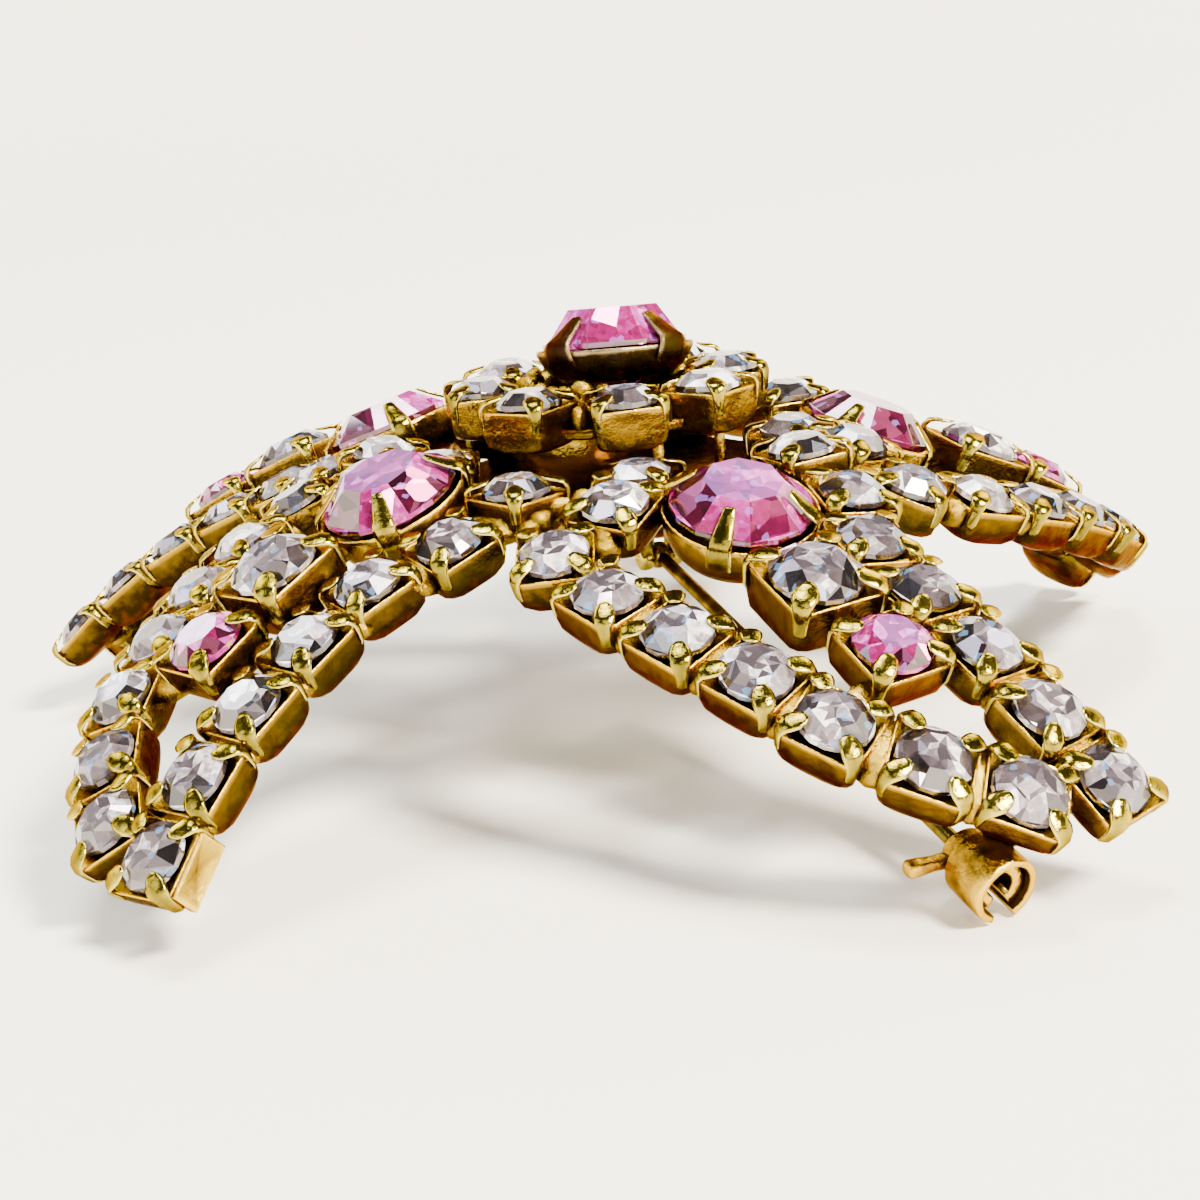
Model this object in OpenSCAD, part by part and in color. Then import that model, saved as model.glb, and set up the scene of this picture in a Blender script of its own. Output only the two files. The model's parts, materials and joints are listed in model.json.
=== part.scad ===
// Starburst brooch: five domed petals of box-set stones, a raised rosette
// with a claw-set top stone, and a hinged dress pin with a safety catch.
// Millimetres, +Z up. The origin is the bottom centre of the bounding box.

/* [Stones] */
// Girdle diameter of the lavender stones along the petal outlines
strand_d = 3.2; // [3:0.05:3.3]
// Girdle diameter of the large pink stone in each petal
pink_d = 6.6; // [6.4:0.1:6.8]
// Girdle diameter of the lavender stone in the middle of each petal
middle_d = 4.2; // [4:0.1:4.4]
// Girdle diameter of the small pink stone in each petal
rose_d = 3.5; // [3.3:0.1:3.7]
// Girdle diameter of the pink stone at the top
top_d = 7.2; // [6.8:0.1:7.3]

/* [Petals] */
// Height of the flat middle of the dome over the surface it rests on
dome_top = 15; // [14.5:0.1:15.5]
// Fall of the petals per millimetre outwards
dome_slope = 0.4; // [0.36:0.01:0.44]
// Extra fall at the petal tips
tip_curl = 3; // [2.5:0.1:3.5]
// Wall of a box setting beyond its stone
box_wall = 0.2; // [0.15:0.05:0.25]

/* [Rosette] */
// Radius of the ring of stone centres
ring_r = 6.2; // [6:0.1:6.4]
// Height of the ring's girdles over the flat middle of the dome
ring_rise = 2.9; // [2.8:0.1:3.2]
// Height of the top stone's girdle over the flat middle of the dome
top_rise = 4.7; // [4.6:0.1:5]
// Lean of the top stone towards the back, in degrees
top_lean = 8; // [0:1:10]

/* [Pin] */
// Diameter of the pin wire
stem_d = 0.7; // [0.6:0.05:0.8]
// Outer diameter of the catch
catch_d = 3; // [2.9:0.1:3.2]

/* [Hidden] */
// Place of the rosette's axis in the bounding box
axis_x = 1.4;
axis_y = -1.5;

// Petals counter-clockwise from the front right one, each bent by hand.
// Columns: azimuth, droop, twist, reach, swirl, lift of the middle row,
// fall of the right side's tip, fall of the left side's tip
PETALS = [
    [-66.4, -1.4, 1.5, 1.022, 3.7, -0.7, 0, 0],
    [5.8, -0.5, 2, 0.93, 18, -0.6, 0.8, 1.8],
    [78.4, 3, 1.4, 1, 5.5, 0, 0, 0],
    [149.6, -2.5, -2.2, 0.98, 9, 0.2, 1.8, 0],
    [221, 0, 0.7, 1.01, 1.5, 0.4, 0, 0],
];
// Strand stones from the petal's tip inwards: distance out, place sideways
RIGHT_SIDE = [
    [31.2, 1], [29.3, -1.9], [26.7, -4.4], [23.6, -5.8], [20.3, -7.3],
    [16.8, -8.5], [13.2, -9.1], [11.7, -5.2], [8.9, -2.6],
];
LEFT_SIDE = [
    [31.4, 5], [28.6, 4.4], [25.4, 4.1], [21.9, 3.8],
    [18.2, 3.8], [14.6, 5.3], [10.4, 5.2],
];
// Stones down the middle of a petal: distance out, sideways, lift, diameter
SPINE = [
    [13.8, 0, 0.3, pink_d],
    [20.3, -0.4, 1.1, middle_d],
    [24.6, 0.1, 0.9, rose_d],
];

PETAL_COUNT = len(PETALS);
RING_COUNT = 8;
RING_START = 8;
NAMES = ["front_right", "right", "back", "left", "front_left"];

GOLD = [0.83, 0.66, 0.24];
TARNISH = [0.42, 0.33, 0.2];
LAVENDER = [0.74, 0.68, 0.8];
PINK = [0.85, 0.25, 0.5];

// Proportions of a cut stone, as shares of its diameter
table_share = 0.56;
crown_share = 0.2;
pavilion_share = 0.42;
girdle_half = 0.12;
seat_gap = 0.12;

flat_r = 12;
bend_r = 8;
post_r = 0.3;
solder_r = 0.55;
claw_r = 0.24;
// The top stone sits a little right of the ring's middle
top_shift = 0.6;
small_box_h = 1.75;
middle_box_h = 2.6;
rose_box_h = 2.1;
ring_box_h = 1.9;
bowl_h = 2.9;
plate_r = 8.8;
plate_t = 0.8;
plate_z = dome_top - small_box_h - 0.25;
step = 0.05;

// Pin: hinge and catch in the dome's axes, and the wire's frame
hinge_at = [2.1, 3, dome_top - 7.3];
catch_at = [13.8, -27.6, catch_d / 2 + 0.1];
stem_dir = (catch_at - hinge_at) / norm(catch_at - hinge_at);
hinge_dir = cross([0, 0, 1], stem_dir) / norm(cross([0, 0, 1], stem_dir));
lift_dir = cross(stem_dir, hinge_dir);
stem_len = norm(catch_at - hinge_at);

function unit(v) = v / norm(v);
function fall(r) = max(0, r - flat_r);
function dome(r) = dome_top - dome_slope * fall(r) - tip_curl * pow(fall(r) / 20, 4);

// A point of petal p, given its distance out, place sideways and lift
function bent(p, q) = let (
        out = (q.x - bend_r) * PETALS[p][3],
        sw = PETALS[p][4] * fall(norm([q.x, q.y])) / 20,
        r = out * cos(sw) - q.y * sin(sw),
        s = out * sin(sw) + q.y * cos(sw),
        z = dome(norm([q.x, q.y])) + q.z - dome_top,
        tw = PETALS[p][2],
        s2 = s * cos(tw) - z * sin(tw),
        z2 = s * sin(tw) + z * cos(tw),
        dr = PETALS[p][1]
    ) [bend_r + r * cos(dr) + z2 * sin(dr), s2, dome_top - r * sin(dr) + z2 * cos(dr)];
function place(p, q) = let (b = bent(p, q), a = PETALS[p][0])
    [b.x * cos(a) - b.y * sin(a), b.x * sin(a) + b.y * cos(a), b.z];
function normal(p, q) = unit(cross(
    place(p, q + [step, 0, 0]) - place(p, q),
    place(p, q + [0, step, 0]) - place(p, q)
));
// Frame of a stone: [position, normal, direction along the strand]
function frame(p, q, along) = let (n = normal(p, q))
    [place(p, q), n, unit(along - n * (along * n))];

function strand_points(side, drop) = [
    for (q = side) [q.x, q.y, -drop * fall(norm([q.x, q.y])) / 20]
];
function strand_frames(p, side, drop) = let (pts = strand_points(side, drop), last = len(side) - 1)
    [for (i = [0:last]) frame(p, pts[i],
        place(p, pts[min(i + 1, last)]) - place(p, pts[max(i - 1, 0)]))];
function right_frames(p) = strand_frames(p, RIGHT_SIDE, PETALS[p][6]);
function left_frames(p) = strand_frames(p, LEFT_SIDE, PETALS[p][7]);
function spine_point(p, i) = [
    SPINE[i][0], SPINE[i][1], SPINE[i][2] + PETALS[p][5]
];
function spine_frame(p, i) = frame(p, spine_point(p, i),
    place(p, spine_point(p, i) + [1, 0, 0]) - place(p, spine_point(p, i)));
function ring_angle(i) = RING_START + i * 360 / RING_COUNT;
function ring_point(i) = [
    ring_r * cos(ring_angle(i)), ring_r * sin(ring_angle(i)), dome_top + ring_rise
];

// Puts the dome's axis at its place in the bounding box
module on_axis() {
    translate([axis_x, axis_y, 0]) children();
}

// Moves children into a frame of position, z direction and x direction
module at(f) {
    y = cross(f[1], f[2]);
    multmatrix([
        [f[2].x, y.x, f[1].x, f[0].x],
        [f[2].y, y.y, f[1].y, f[0].y],
        [f[2].z, y.z, f[1].z, f[0].z],
        [0, 0, 0, 1],
    ]) children();
}

module rod(p, q, r) {
    v = q - p;
    translate(p)
        rotate([0, acos(v.z / norm(v)), atan2(v.y, v.x)])
            cylinder(r = r, h = norm(v), $fn = 24);
}

// A cut stone: flat table, crown, thin girdle and pointed pavilion
module stone(d, sides) {
    crown = crown_share * d;
    rim = [for (i = [0:sides - 1]) [cos((i + 0.5) * 360 / sides), sin((i + 0.5) * 360 / sides)]];
    levels = [[table_share / 2, crown], [0.5, girdle_half], [0.5, -girdle_half]];
    pts = concat(
        [for (l = levels) for (c = rim) [c.x * l.x * d, c.y * l.x * d, l.y]],
        [[0, 0, -pavilion_share * d]]
    );
    walls = [for (l = [0:1]) for (i = [0:sides - 1])
        [l * sides + i, l * sides + (i + 1) % sides,
            (l + 1) * sides + (i + 1) % sides, (l + 1) * sides + i]];
    point = [for (i = [0:sides - 1]) [2 * sides + i, 2 * sides + (i + 1) % sides, 3 * sides]];
    polyhedron(
        points = pts,
        faces = concat([[for (i = [sides - 1:-1:0]) i]], walls, point),
        convexity = 2
    );
}

// The hollow that a stone's pavilion sits in, widened by the seat gap
module hollow(d) {
    depth = pavilion_share * d + seat_gap;
    r = d / 2 + seat_gap;
    translate([0, 0, -depth]) cylinder(r1 = 0.1, r2 = r, h = depth - girdle_half, $fn = 32);
    translate([0, 0, -girdle_half - step]) cylinder(r = r, h = 1, $fn = 32);
}

// A square cup with the hollow for its stone
module cup(d, h) {
    w = d + 2 * box_wall;
    difference() {
        translate([-w / 2, -w / 2, -h]) cube([w, w, h - girdle_half - seat_gap]);
        hollow(d);
    }
}

// Posts at the cup's corners, each ending in a claw over the crown
module cup_claws(d, h) {
    corner = (d / 2 + box_wall - claw_r) * sqrt(2);
    post_top = girdle_half + 0.3;
    for (a = [45:90:315])
        rotate(a) {
            translate([corner, 0, -0.6 * h]) cylinder(r = post_r, h = post_top + 0.6 * h, $fn = 16);
            translate([corner, 0, post_top])
                rotate([0, -70, 0]) cylinder(r = claw_r, h = 0.9, $fn = 16);
        }
}

// A round bowl, and the four long claws that reach over the crown
module bowl(d, h) {
    outer = d / 2 + 0.35;
    difference() {
        rotate_extrude($fn = 48)
            polygon([
                [0, -h], [outer * 0.6, -h], [outer * 0.92, -h * 0.55],
                [outer, -girdle_half - seat_gap], [0, -girdle_half - seat_gap],
            ]);
        hollow(d);
    }
}

module bowl_claws(d, h) {
    outer = d / 2 + 0.35;
    slope = atan2(crown_share * d, (1 - table_share) * d / 2);
    for (a = [0:90:270])
        rotate(a) {
            translate([outer - 0.25, -0.5, -h * 0.6]) cube([0.6, 1, h * 0.6 + 0.35]);
            translate([d / 2 + 0.15, 0, girdle_half]) rotate([0, slope - 180, 0])
                translate([-0.5, -0.45, -0.45]) cube([0.35 * d, 0.9, 0.35]);
        }
}

// A lump of solder between two cups, given how far each reaches towards it
module solder(f, g, reach_f, reach_g, deep) {
    a = f[0] - f[1] * deep;
    b = g[0] - g[1] * deep;
    u = unit(b - a);
    rod(a + u * (reach_f - 0.15), b - u * (reach_g - 0.15), solder_r);
}

module petal_setting(p) {
    right = right_frames(p);
    left = left_frames(p);
    strands = concat(right, left);
    spine = [for (i = [0:2]) spine_frame(p, i)];
    half = strand_d / 2;
    bowl_reach = pink_d / 2 + 0.1;
    on_axis() color(GOLD) {
        for (f = strands) at(f) {
            cup(strand_d, small_box_h);
            cup_claws(strand_d, small_box_h);
        }
        at(spine[0]) {
            bowl(pink_d, bowl_h);
            rotate(45) bowl_claws(pink_d, bowl_h);
        }
        at(spine[1]) {
            cup(middle_d, middle_box_h);
            cup_claws(middle_d, middle_box_h);
        }
        at(spine[2]) {
            cup(rose_d, rose_box_h);
            cup_claws(rose_d, rose_box_h);
        }
        for (side = [right, left])
            for (i = [1:len(side) - 1]) solder(side[i - 1], side[i], half, half, 1.25);
        solder(right[0], left[0], half, half, 1.25);
        solder(spine[0], spine[1], bowl_reach, middle_d / 2, 1.5);
        solder(spine[1], spine[2], middle_d / 2, rose_d / 2, 1.5);
        solder(spine[2], left[2], rose_d / 2, half, 1.25);
        solder(spine[2], right[2], rose_d / 2, half, 1.25);
        solder(spine[0], left[5], bowl_reach, half, 1.25);
    }
}

module strand_stones(p) {
    on_axis() color(LAVENDER)
        for (f = concat(right_frames(p), left_frames(p)))
            at(f) stone(strand_d, 8);
}

module spine_stone(p, i, sides) {
    on_axis() color(i == 1 ? LAVENDER : PINK) at(spine_frame(p, i)) stone(SPINE[i][3], sides);
}

// Ring of eight cups on a bowl, thin posts and a base plate under the petals
module rosette_setting() {
    hub_r = 3;
    hub_at = [-1.6, -1.2];
    ring_bottom = dome_top + ring_rise - ring_box_h;
    mound_h = top_rise - 2.4 - (ring_bottom - dome_top);
    on_axis() color(GOLD) {
        for (i = [0:RING_COUNT - 1])
            translate(ring_point(i)) rotate(ring_angle(i)) {
                cup(strand_d, ring_box_h);
                cup_claws(strand_d, ring_box_h);
            }
        translate([0, 0, ring_bottom]) difference() {
            cylinder(r = ring_r, h = 0.5, $fn = 64);
            cylinder(r = 2.5, h = 2, center = true, $fn = 48);
        }
        difference() {
            translate([0, 0, ring_bottom + 0.2]) cylinder(r = 4.4, h = mound_h - 0.2, $fn = 64);
            in_top_frame() hollow(top_d);
        }
        translate([hub_at.x, hub_at.y, plate_z - 0.4])
            cylinder(r1 = hub_r * 0.7, r2 = hub_r, h = ring_bottom - plate_z + 0.8, $fn = 48);
        translate([0, 0, plate_z - plate_t]) cylinder(r = plate_r, h = plate_t, $fn = 64);
        for (q = [[2.3, -4.6], [5.4, -2.6], [0, 5.6]])
            rod([q.x, q.y, plate_z - 0.3], [q.x, q.y, ring_bottom + 0.35], 0.3);
    }
}

module in_top_frame() {
    translate([top_shift, 0, dome_top + top_rise]) rotate([-top_lean, 0, 0]) children();
}

module top_setting() {
    on_axis() in_top_frame() color(TARNISH) {
        difference() {
            bowl(top_d, 1.9);
            hollow(top_d);
        }
        rotate(45) bowl_claws(top_d, 1);
    }
}

module top_stone() {
    on_axis() in_top_frame() color(PINK) stone(top_d, 16);
}

module rosette_stone(i) {
    on_axis() color(LAVENDER) translate(ring_point(i)) rotate(ring_angle(i)) stone(strand_d, 8);
}

// Frames along the pin wire: x along it, y along the hinge, z away from it
module pin_frame(p) {
    on_axis() at([p, lift_dir, stem_dir]) children();
}

module across(r, w) {
    translate([0, w / 2, 0]) rotate([90, 0, 0]) cylinder(r = r, h = w, $fn = 32);
}

module along_stem(x, len, r) {
    translate([x, 0, 0]) rotate([0, 90, 0]) cylinder(r = r, h = len, $fn = 32);
}

// Dimensions of the hinge and the catch
ear_t = 0.7;
knuckle_w = 0.8;
knuckle_r = 0.7;
rivet_r = 0.3;
running = 0.05;
ear_gap = 0.08;
ear_out = knuckle_w / 2 + ear_gap + ear_t;
catch_len = 2.6;
sleeve_extra = 1;
sleeve_r = catch_d / 2 - 0.4;
sleeve_bore = 0.55;
slot_w = 1;

module pin_hinge() {
    pin_frame(hinge_at) color(GOLD) {
        for (s = [-1, 1])
            translate([0, s * (ear_out - ear_t / 2), 0]) {
                across(knuckle_r, ear_t);
                translate([-knuckle_r, -ear_t / 2, 0]) cube([2 * knuckle_r, ear_t, 2.6]);
            }
        across(rivet_r, 2 * ear_out - 0.1);
    }
    on_axis() color(GOLD)
        translate([hinge_at.x, hinge_at.y, hinge_at.z + 1.7])
            rotate(atan2(stem_dir.y, stem_dir.x))
                translate([-0.8, -ear_out, 0])
                    cube([1.6, 2 * ear_out, plate_z - plate_t - 0.1 - hinge_at.z - 1.7]);
}

module pin_stem() {
    point = 3;
    pin_frame(hinge_at) color(GOLD)
        difference() {
            union() {
                across(knuckle_r, knuckle_w);
                along_stem(0, stem_len - point + 1, stem_d / 2);
                translate([stem_len - point + 1, 0, 0])
                    rotate([0, 90, 0]) cylinder(r1 = stem_d / 2, r2 = 0.08, h = point, $fn = 32);
            }
            across(rivet_r + running, 3);
        }
}

module catch_housing() {
    tip = right_frames(0)[0];
    color(GOLD) difference() {
        union() {
            pin_frame(catch_at) along_stem(-catch_len / 2, catch_len, catch_d / 2);
            on_axis() at(tip) translate([-0.9, -0.9, -small_box_h - 0.12 - 1.2]) cube([1.8, 1.8, 1.2]);
        }
        pin_frame(catch_at) {
            along_stem(-catch_len, 2 * catch_len, sleeve_r + running);
            translate([-catch_len, -slot_w / 2 - 0.1, -catch_d]) cube([2 * catch_len, slot_w + 0.2, catch_d]);
        }
    }
}

module catch_sleeve() {
    start = -catch_len / 2 - sleeve_extra;
    pin_frame(catch_at) color(GOLD)
        difference() {
            union() {
                along_stem(start, catch_len + sleeve_extra + 0.1, sleeve_r);
                translate([start, -catch_d / 2 - 1.4, -0.35]) cube([0.8, catch_d / 2 + 1.4, 0.7]);
            }
            along_stem(start - 1, catch_len + sleeve_extra + 3, sleeve_bore);
            translate([start - 1, -slot_w / 2, -catch_d])
                cube([catch_len + sleeve_extra + 3, slot_w, catch_d]);
        }
}

for (p = [0:PETAL_COUNT - 1]) {
    petal_setting(p);
    strand_stones(p);
    spine_stone(p, 0, 16);
    spine_stone(p, 1, 16);
    spine_stone(p, 2, 12);
}
rosette_setting();
top_setting();
top_stone();
for (i = [0:RING_COUNT - 1])
    rosette_stone(i);
pin_hinge();
pin_stem();
catch_housing();
catch_sleeve();
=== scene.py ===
"""Looks of a starburst brooch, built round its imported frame.

The brooch is five domed petals of box-set stones, a raised rosette with a
claw-set top stone, and a dress pin with a turning catch. Every repeated piece
(cup, claw, stone, solder) is a small mesh that Geometry Nodes put in place.
Sizes are in millimetres until a mesh is written, in metres.
"""

import json
import logging
import math
from collections.abc import Iterable
from dataclasses import dataclass, field, replace
from enum import Enum

import bpy
import numpy as np
from mathutils import Matrix, Vector

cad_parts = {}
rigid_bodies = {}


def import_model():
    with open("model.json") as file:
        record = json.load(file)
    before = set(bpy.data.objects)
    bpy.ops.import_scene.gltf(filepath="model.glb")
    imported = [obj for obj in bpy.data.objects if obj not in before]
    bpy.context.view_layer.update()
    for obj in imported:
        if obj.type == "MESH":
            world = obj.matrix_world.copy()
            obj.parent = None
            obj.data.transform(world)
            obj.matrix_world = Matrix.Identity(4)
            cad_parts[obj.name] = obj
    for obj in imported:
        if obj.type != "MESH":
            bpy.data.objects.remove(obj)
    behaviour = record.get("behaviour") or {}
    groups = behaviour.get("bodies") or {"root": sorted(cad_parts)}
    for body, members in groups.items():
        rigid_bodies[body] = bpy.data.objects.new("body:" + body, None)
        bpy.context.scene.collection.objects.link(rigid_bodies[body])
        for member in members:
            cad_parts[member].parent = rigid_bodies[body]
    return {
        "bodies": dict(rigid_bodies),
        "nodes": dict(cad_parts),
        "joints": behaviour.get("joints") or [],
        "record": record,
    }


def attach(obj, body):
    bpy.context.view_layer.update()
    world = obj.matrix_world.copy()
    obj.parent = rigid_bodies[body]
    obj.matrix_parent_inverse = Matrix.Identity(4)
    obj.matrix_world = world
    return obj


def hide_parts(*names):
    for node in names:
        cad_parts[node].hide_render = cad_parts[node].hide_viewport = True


LOG = logging.getLogger("brooch")
MM = 0.001
SEED = 11
# A cup's corners, in degrees, and half of one of a round stone's sixteen facets
QUARTERS = (45, 135, 225, 315)
HALF_FACET = 11.25
# Old lacquer in broad patches and where it gathers, and the tint of gold's highlights
OLIVE, POOLED, GOLD_TINT = "4A4208", "7A3A00", "CCAA4C"


def unit(v: np.ndarray) -> np.ndarray:
    """The direction of v, of length 1."""
    return v / np.linalg.norm(v)


def angles(sides: int) -> np.ndarray:
    """Angles round a circle, one for each of its sides, in radians from 0."""
    return np.linspace(0, 2 * math.pi, sides, endpoint=False)


def linked(name: str, data: bpy.types.ID) -> bpy.types.Object:
    """A new object in the scene.

    Args:
        name: its name.
        data: its mesh, light or camera.

    Returns:
        The object.
    """
    obj = bpy.data.objects.new(name, data)
    bpy.context.scene.collection.objects.link(obj)
    return obj


# ---------------------------------------------------------------- layout


@dataclass(frozen=True)
class Frame:
    """A place on the brooch: where it is, which way is up, which way is along.

    Attributes:
        at: position in millimetres.
        up: unit normal, out of the stone's table.
        along: unit direction of the strand.
    """

    at: np.ndarray
    up: np.ndarray
    along: np.ndarray

    def axes(self) -> np.ndarray:
        """The 3 by 3 rotation whose columns are along, across and up."""
        return np.stack([self.along, np.cross(self.up, self.along), self.up], axis=1)

    def moved(self, along: float = 0.0, across: float = 0.0, up: float = 0.0) -> "Frame":
        """The same axes at a point shifted by millimetres along, across and up."""
        return Frame(self.at + self.axes() @ np.array([along, across, up]), self.up, self.along)

    def turned(self, degrees: float) -> "Frame":
        """The same point with the axes turned about up.

        Args:
            degrees: angle, counter-clockwise seen from above.

        Returns:
            The turned frame.
        """
        a = math.radians(degrees)
        ax = self.axes()
        return Frame(self.at, self.up, ax[:, 0] * math.cos(a) + ax[:, 1] * math.sin(a))


@dataclass(frozen=True)
class Bend:
    """How one petal is bent by hand, in degrees, shares and millimetres."""

    azimuth: float
    droop: float
    twist: float
    reach: float
    swirl: float
    lift: float
    right_fall: float
    left_fall: float


class Petal(Enum):
    """The five petals, counter-clockwise from the front right one."""

    front_right = Bend(-66.4, -1.4, 1.5, 1.022, 3.7, -0.7, 0, 0)
    right = Bend(5.8, -0.5, 2, 0.93, 18, -0.6, 0.8, 1.8)
    back = Bend(78.4, 3, 1.4, 1, 5.5, 0, 0, 0)
    left = Bend(149.6, -2.5, -2.2, 0.98, 9, 0.2, 1.8, 0)
    front_left = Bend(221, 0, 0.7, 1.01, 1.5, 0.4, 0, 0)


@dataclass(frozen=True)
class Sizes:
    """Sizes that the looks share with the frame, in millimetres."""

    axis: tuple[float, float] = (1.4, -1.5)
    dome_top: float = 15.0
    dome_slope: float = 0.4
    tip_curl: float = 3.0
    flat_r: float = 12.0
    span: float = 20.0
    bend_r: float = 8.0
    strand_d: float = 3.2
    pink_d: float = 6.6
    middle_d: float = 4.2
    rose_d: float = 3.5
    top_d: float = 7.2
    box_wall: float = 0.2
    small_box_h: float = 1.75
    middle_box_h: float = 2.6
    rose_box_h: float = 2.1
    ring_box_h: float = 1.9
    bowl_h: float = 2.9
    ring_r: float = 6.2
    ring_start: float = 8.0
    ring_rise: float = 2.9
    top_rise: float = 4.7
    top_lean: float = 8.0
    top_shift: float = 0.6


SIZES = Sizes()
# A petal's stones before it is bent, from the tip inwards: distance out, place sideways
RIGHT_SIDE = (
    (31.2, 1), (29.3, -1.9), (26.7, -4.4), (23.6, -5.8), (20.3, -7.3),
    (16.8, -8.5), (13.2, -9.1), (11.7, -5.2), (8.9, -2.6),
)
LEFT_SIDE = (
    (31.4, 5), (28.6, 4.4), (25.4, 4.1), (21.9, 3.8),
    (18.2, 3.8), (14.6, 5.3), (10.4, 5.2),
)
# Down the middle, outwards: distance out, place sideways, lift
SPINE = ((13.8, 0, 0.3), (20.3, -0.4, 1.1), (24.6, 0.1, 0.9))


class Dome:
    """Places stones on the bent petals as the frame's source does."""

    def __init__(self, sizes: Sizes) -> None:
        """Keeps the shared sizes."""
        self.s = sizes

    def fall(self, r: float) -> float:
        """How far a point at r from the axis is outside the dome's flat middle."""
        return max(0.0, r - self.s.flat_r)

    def place(self, bend: Bend, q: np.ndarray) -> np.ndarray:
        """A point of a petal.

        Args:
            bend: the petal's bend.
            q: distance out, place sideways and lift.

        Returns:
            The point in the brooch's frame, in millimetres.
        """
        s = self.s
        fall = self.fall(float(np.hypot(q[0], q[1])))
        height = s.dome_top - s.dome_slope * fall - s.tip_curl * (fall / s.span) ** 4
        out = (q[0] - s.bend_r) * bend.reach
        sw = math.radians(bend.swirl * fall / s.span)
        r = out * math.cos(sw) - q[1] * math.sin(sw)
        t = out * math.sin(sw) + q[1] * math.cos(sw)
        z = height + q[2] - s.dome_top
        tw, dr, az = (math.radians(v) for v in (bend.twist, bend.droop, bend.azimuth))
        t2 = t * math.cos(tw) - z * math.sin(tw)
        z2 = t * math.sin(tw) + z * math.cos(tw)
        x = s.bend_r + r * math.cos(dr) + z2 * math.sin(dr)
        up = s.dome_top - r * math.sin(dr) + z2 * math.cos(dr)
        return np.array([
            x * math.cos(az) - t2 * math.sin(az) + s.axis[0],
            x * math.sin(az) + t2 * math.cos(az) + s.axis[1],
            up,
        ])

    def frame(self, bend: Bend, q: np.ndarray, along: np.ndarray) -> Frame:
        """The frame of a stone.

        Args:
            bend: the petal's bend.
            q: distance out, place sideways and lift.
            along: rough direction of the strand.

        Returns:
            The frame.
        """
        step = 0.05
        p = self.place(bend, q)
        sides = [self.place(bend, q + d) - p for d in ([step, 0, 0], [0, step, 0])]
        n = unit(np.cross(*sides))
        return Frame(p, n, unit(along - n * float(along @ n)))

    def strand(self, bend: Bend, side: tuple, drop: float) -> list[Frame]:
        """Frames of one side of a petal.

        Args:
            bend: the petal's bend.
            side: distances out and places sideways, from the tip inwards.
            drop: fall of this side's tip.

        Returns:
            One frame for each stone.
        """
        span = self.s.span
        qs = [np.array([x, y, -drop * self.fall(math.hypot(x, y)) / span]) for x, y in side]
        pts = [self.place(bend, q) for q in qs]
        last = len(qs) - 1
        return [
            self.frame(bend, q, pts[min(i + 1, last)] - pts[max(i - 1, 0)])
            for i, q in enumerate(qs)
        ]

    def spine(self, bend: Bend) -> list[Frame]:
        """Frames of the three stones down the middle of a petal.

        Args:
            bend: the petal's bend.

        Returns:
            Frames of the large pink, the middle lavender and the small pink.
        """
        qs = [np.array([x, y, z + bend.lift]) for x, y, z in SPINE]
        return [
            self.frame(bend, q, self.place(bend, q + [1, 0, 0]) - self.place(bend, q)) for q in qs
        ]

    def ring(self) -> list[Frame]:
        """Frames of the eight stones of the rosette.

        Returns:
            One frame for each stone.
        """
        s = self.s
        found = []
        for i in range(8):
            a = math.radians(s.ring_start + 45 * i)
            out = np.array([math.cos(a), math.sin(a), 0.0])
            at = out * s.ring_r + [s.axis[0], s.axis[1], s.dome_top + s.ring_rise]
            found.append(Frame(at, np.array([0.0, 0.0, 1.0]), out))
        return found

    def top(self) -> Frame:
        """Frame of the top stone.

        Returns:
            The frame, leaning towards the back.
        """
        s = self.s
        a = math.radians(-s.top_lean)
        at = np.array([s.axis[0] + s.top_shift, s.axis[1], s.dome_top + s.top_rise])
        return Frame(at, np.array([0.0, -math.sin(a), math.cos(a)]), np.array([1.0, 0.0, 0.0]))


# ---------------------------------------------------------------- materials


def linear(hex_colour: str) -> tuple[float, float, float, float]:
    """An sRGB hex colour as linear RGBA.

    Args:
        hex_colour: six hex digits.

    Returns:
        Four numbers.
    """
    parts = [int(hex_colour[i:i + 2], 16) / 255 for i in (0, 2, 4)]
    lin = [c / 12.92 if c <= 0.04045 else ((c + 0.055) / 1.055) ** 2.4 for c in parts]
    return (*lin, 1.0)


class Graph:
    """A node tree under construction."""

    def __init__(self, tree: bpy.types.NodeTree) -> None:
        """Empties the tree and builds in it."""
        self.tree = tree
        tree.nodes.clear()

    def add(self, kind: str, values: dict | None = None,
            stops: list[tuple[float, str]] | None = None, **settings) -> bpy.types.Node:
        """Adds one node with its settings and links.

        Args:
            kind: the node's type.
            values: socket name or number to a constant, a socket, or a node's first output.
            stops: positions and hex colours of a ramp: first, last, then those between.
            settings: properties of the node.

        Returns:
            The node.
        """
        node = self.tree.nodes.new(kind)
        for name, value in settings.items():
            setattr(node, name, value)
        for i, (position, colour) in enumerate(stops or []):
            elements = node.color_ramp.elements
            element = elements[i] if i < 2 else elements.new(position)
            element.position, element.color = position, linear(colour)
        for key, value in (values or {}).items():
            if isinstance(value, bpy.types.Node):
                value = value.outputs[0]
            if isinstance(value, bpy.types.NodeSocket):
                self.tree.links.new(value, node.inputs[key])
            else:
                node.inputs[key].default_value = value
        return node


@dataclass(frozen=True)
class MetalFinish:
    """One metal of the brooch: its hex colours, bright to deep, which also paint highlights on its
    edges and shade in its recesses, and how worn it is, in shares.
    """

    material: str
    bright: str
    middle: str
    deep: str
    rough: float
    rough_spread: float
    dent: float
    grain: float
    tarnish: float


@dataclass(frozen=True)
class GlassFinish:
    """One colour of foiled cut glass: its facets painted dark to light for shade, reflections and
    highlights, a painted reflection on its table and painted glints.
    """

    material: str
    tones: tuple[str, ...]
    table: str
    table_share: float
    glint: str
    foil: str


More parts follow.
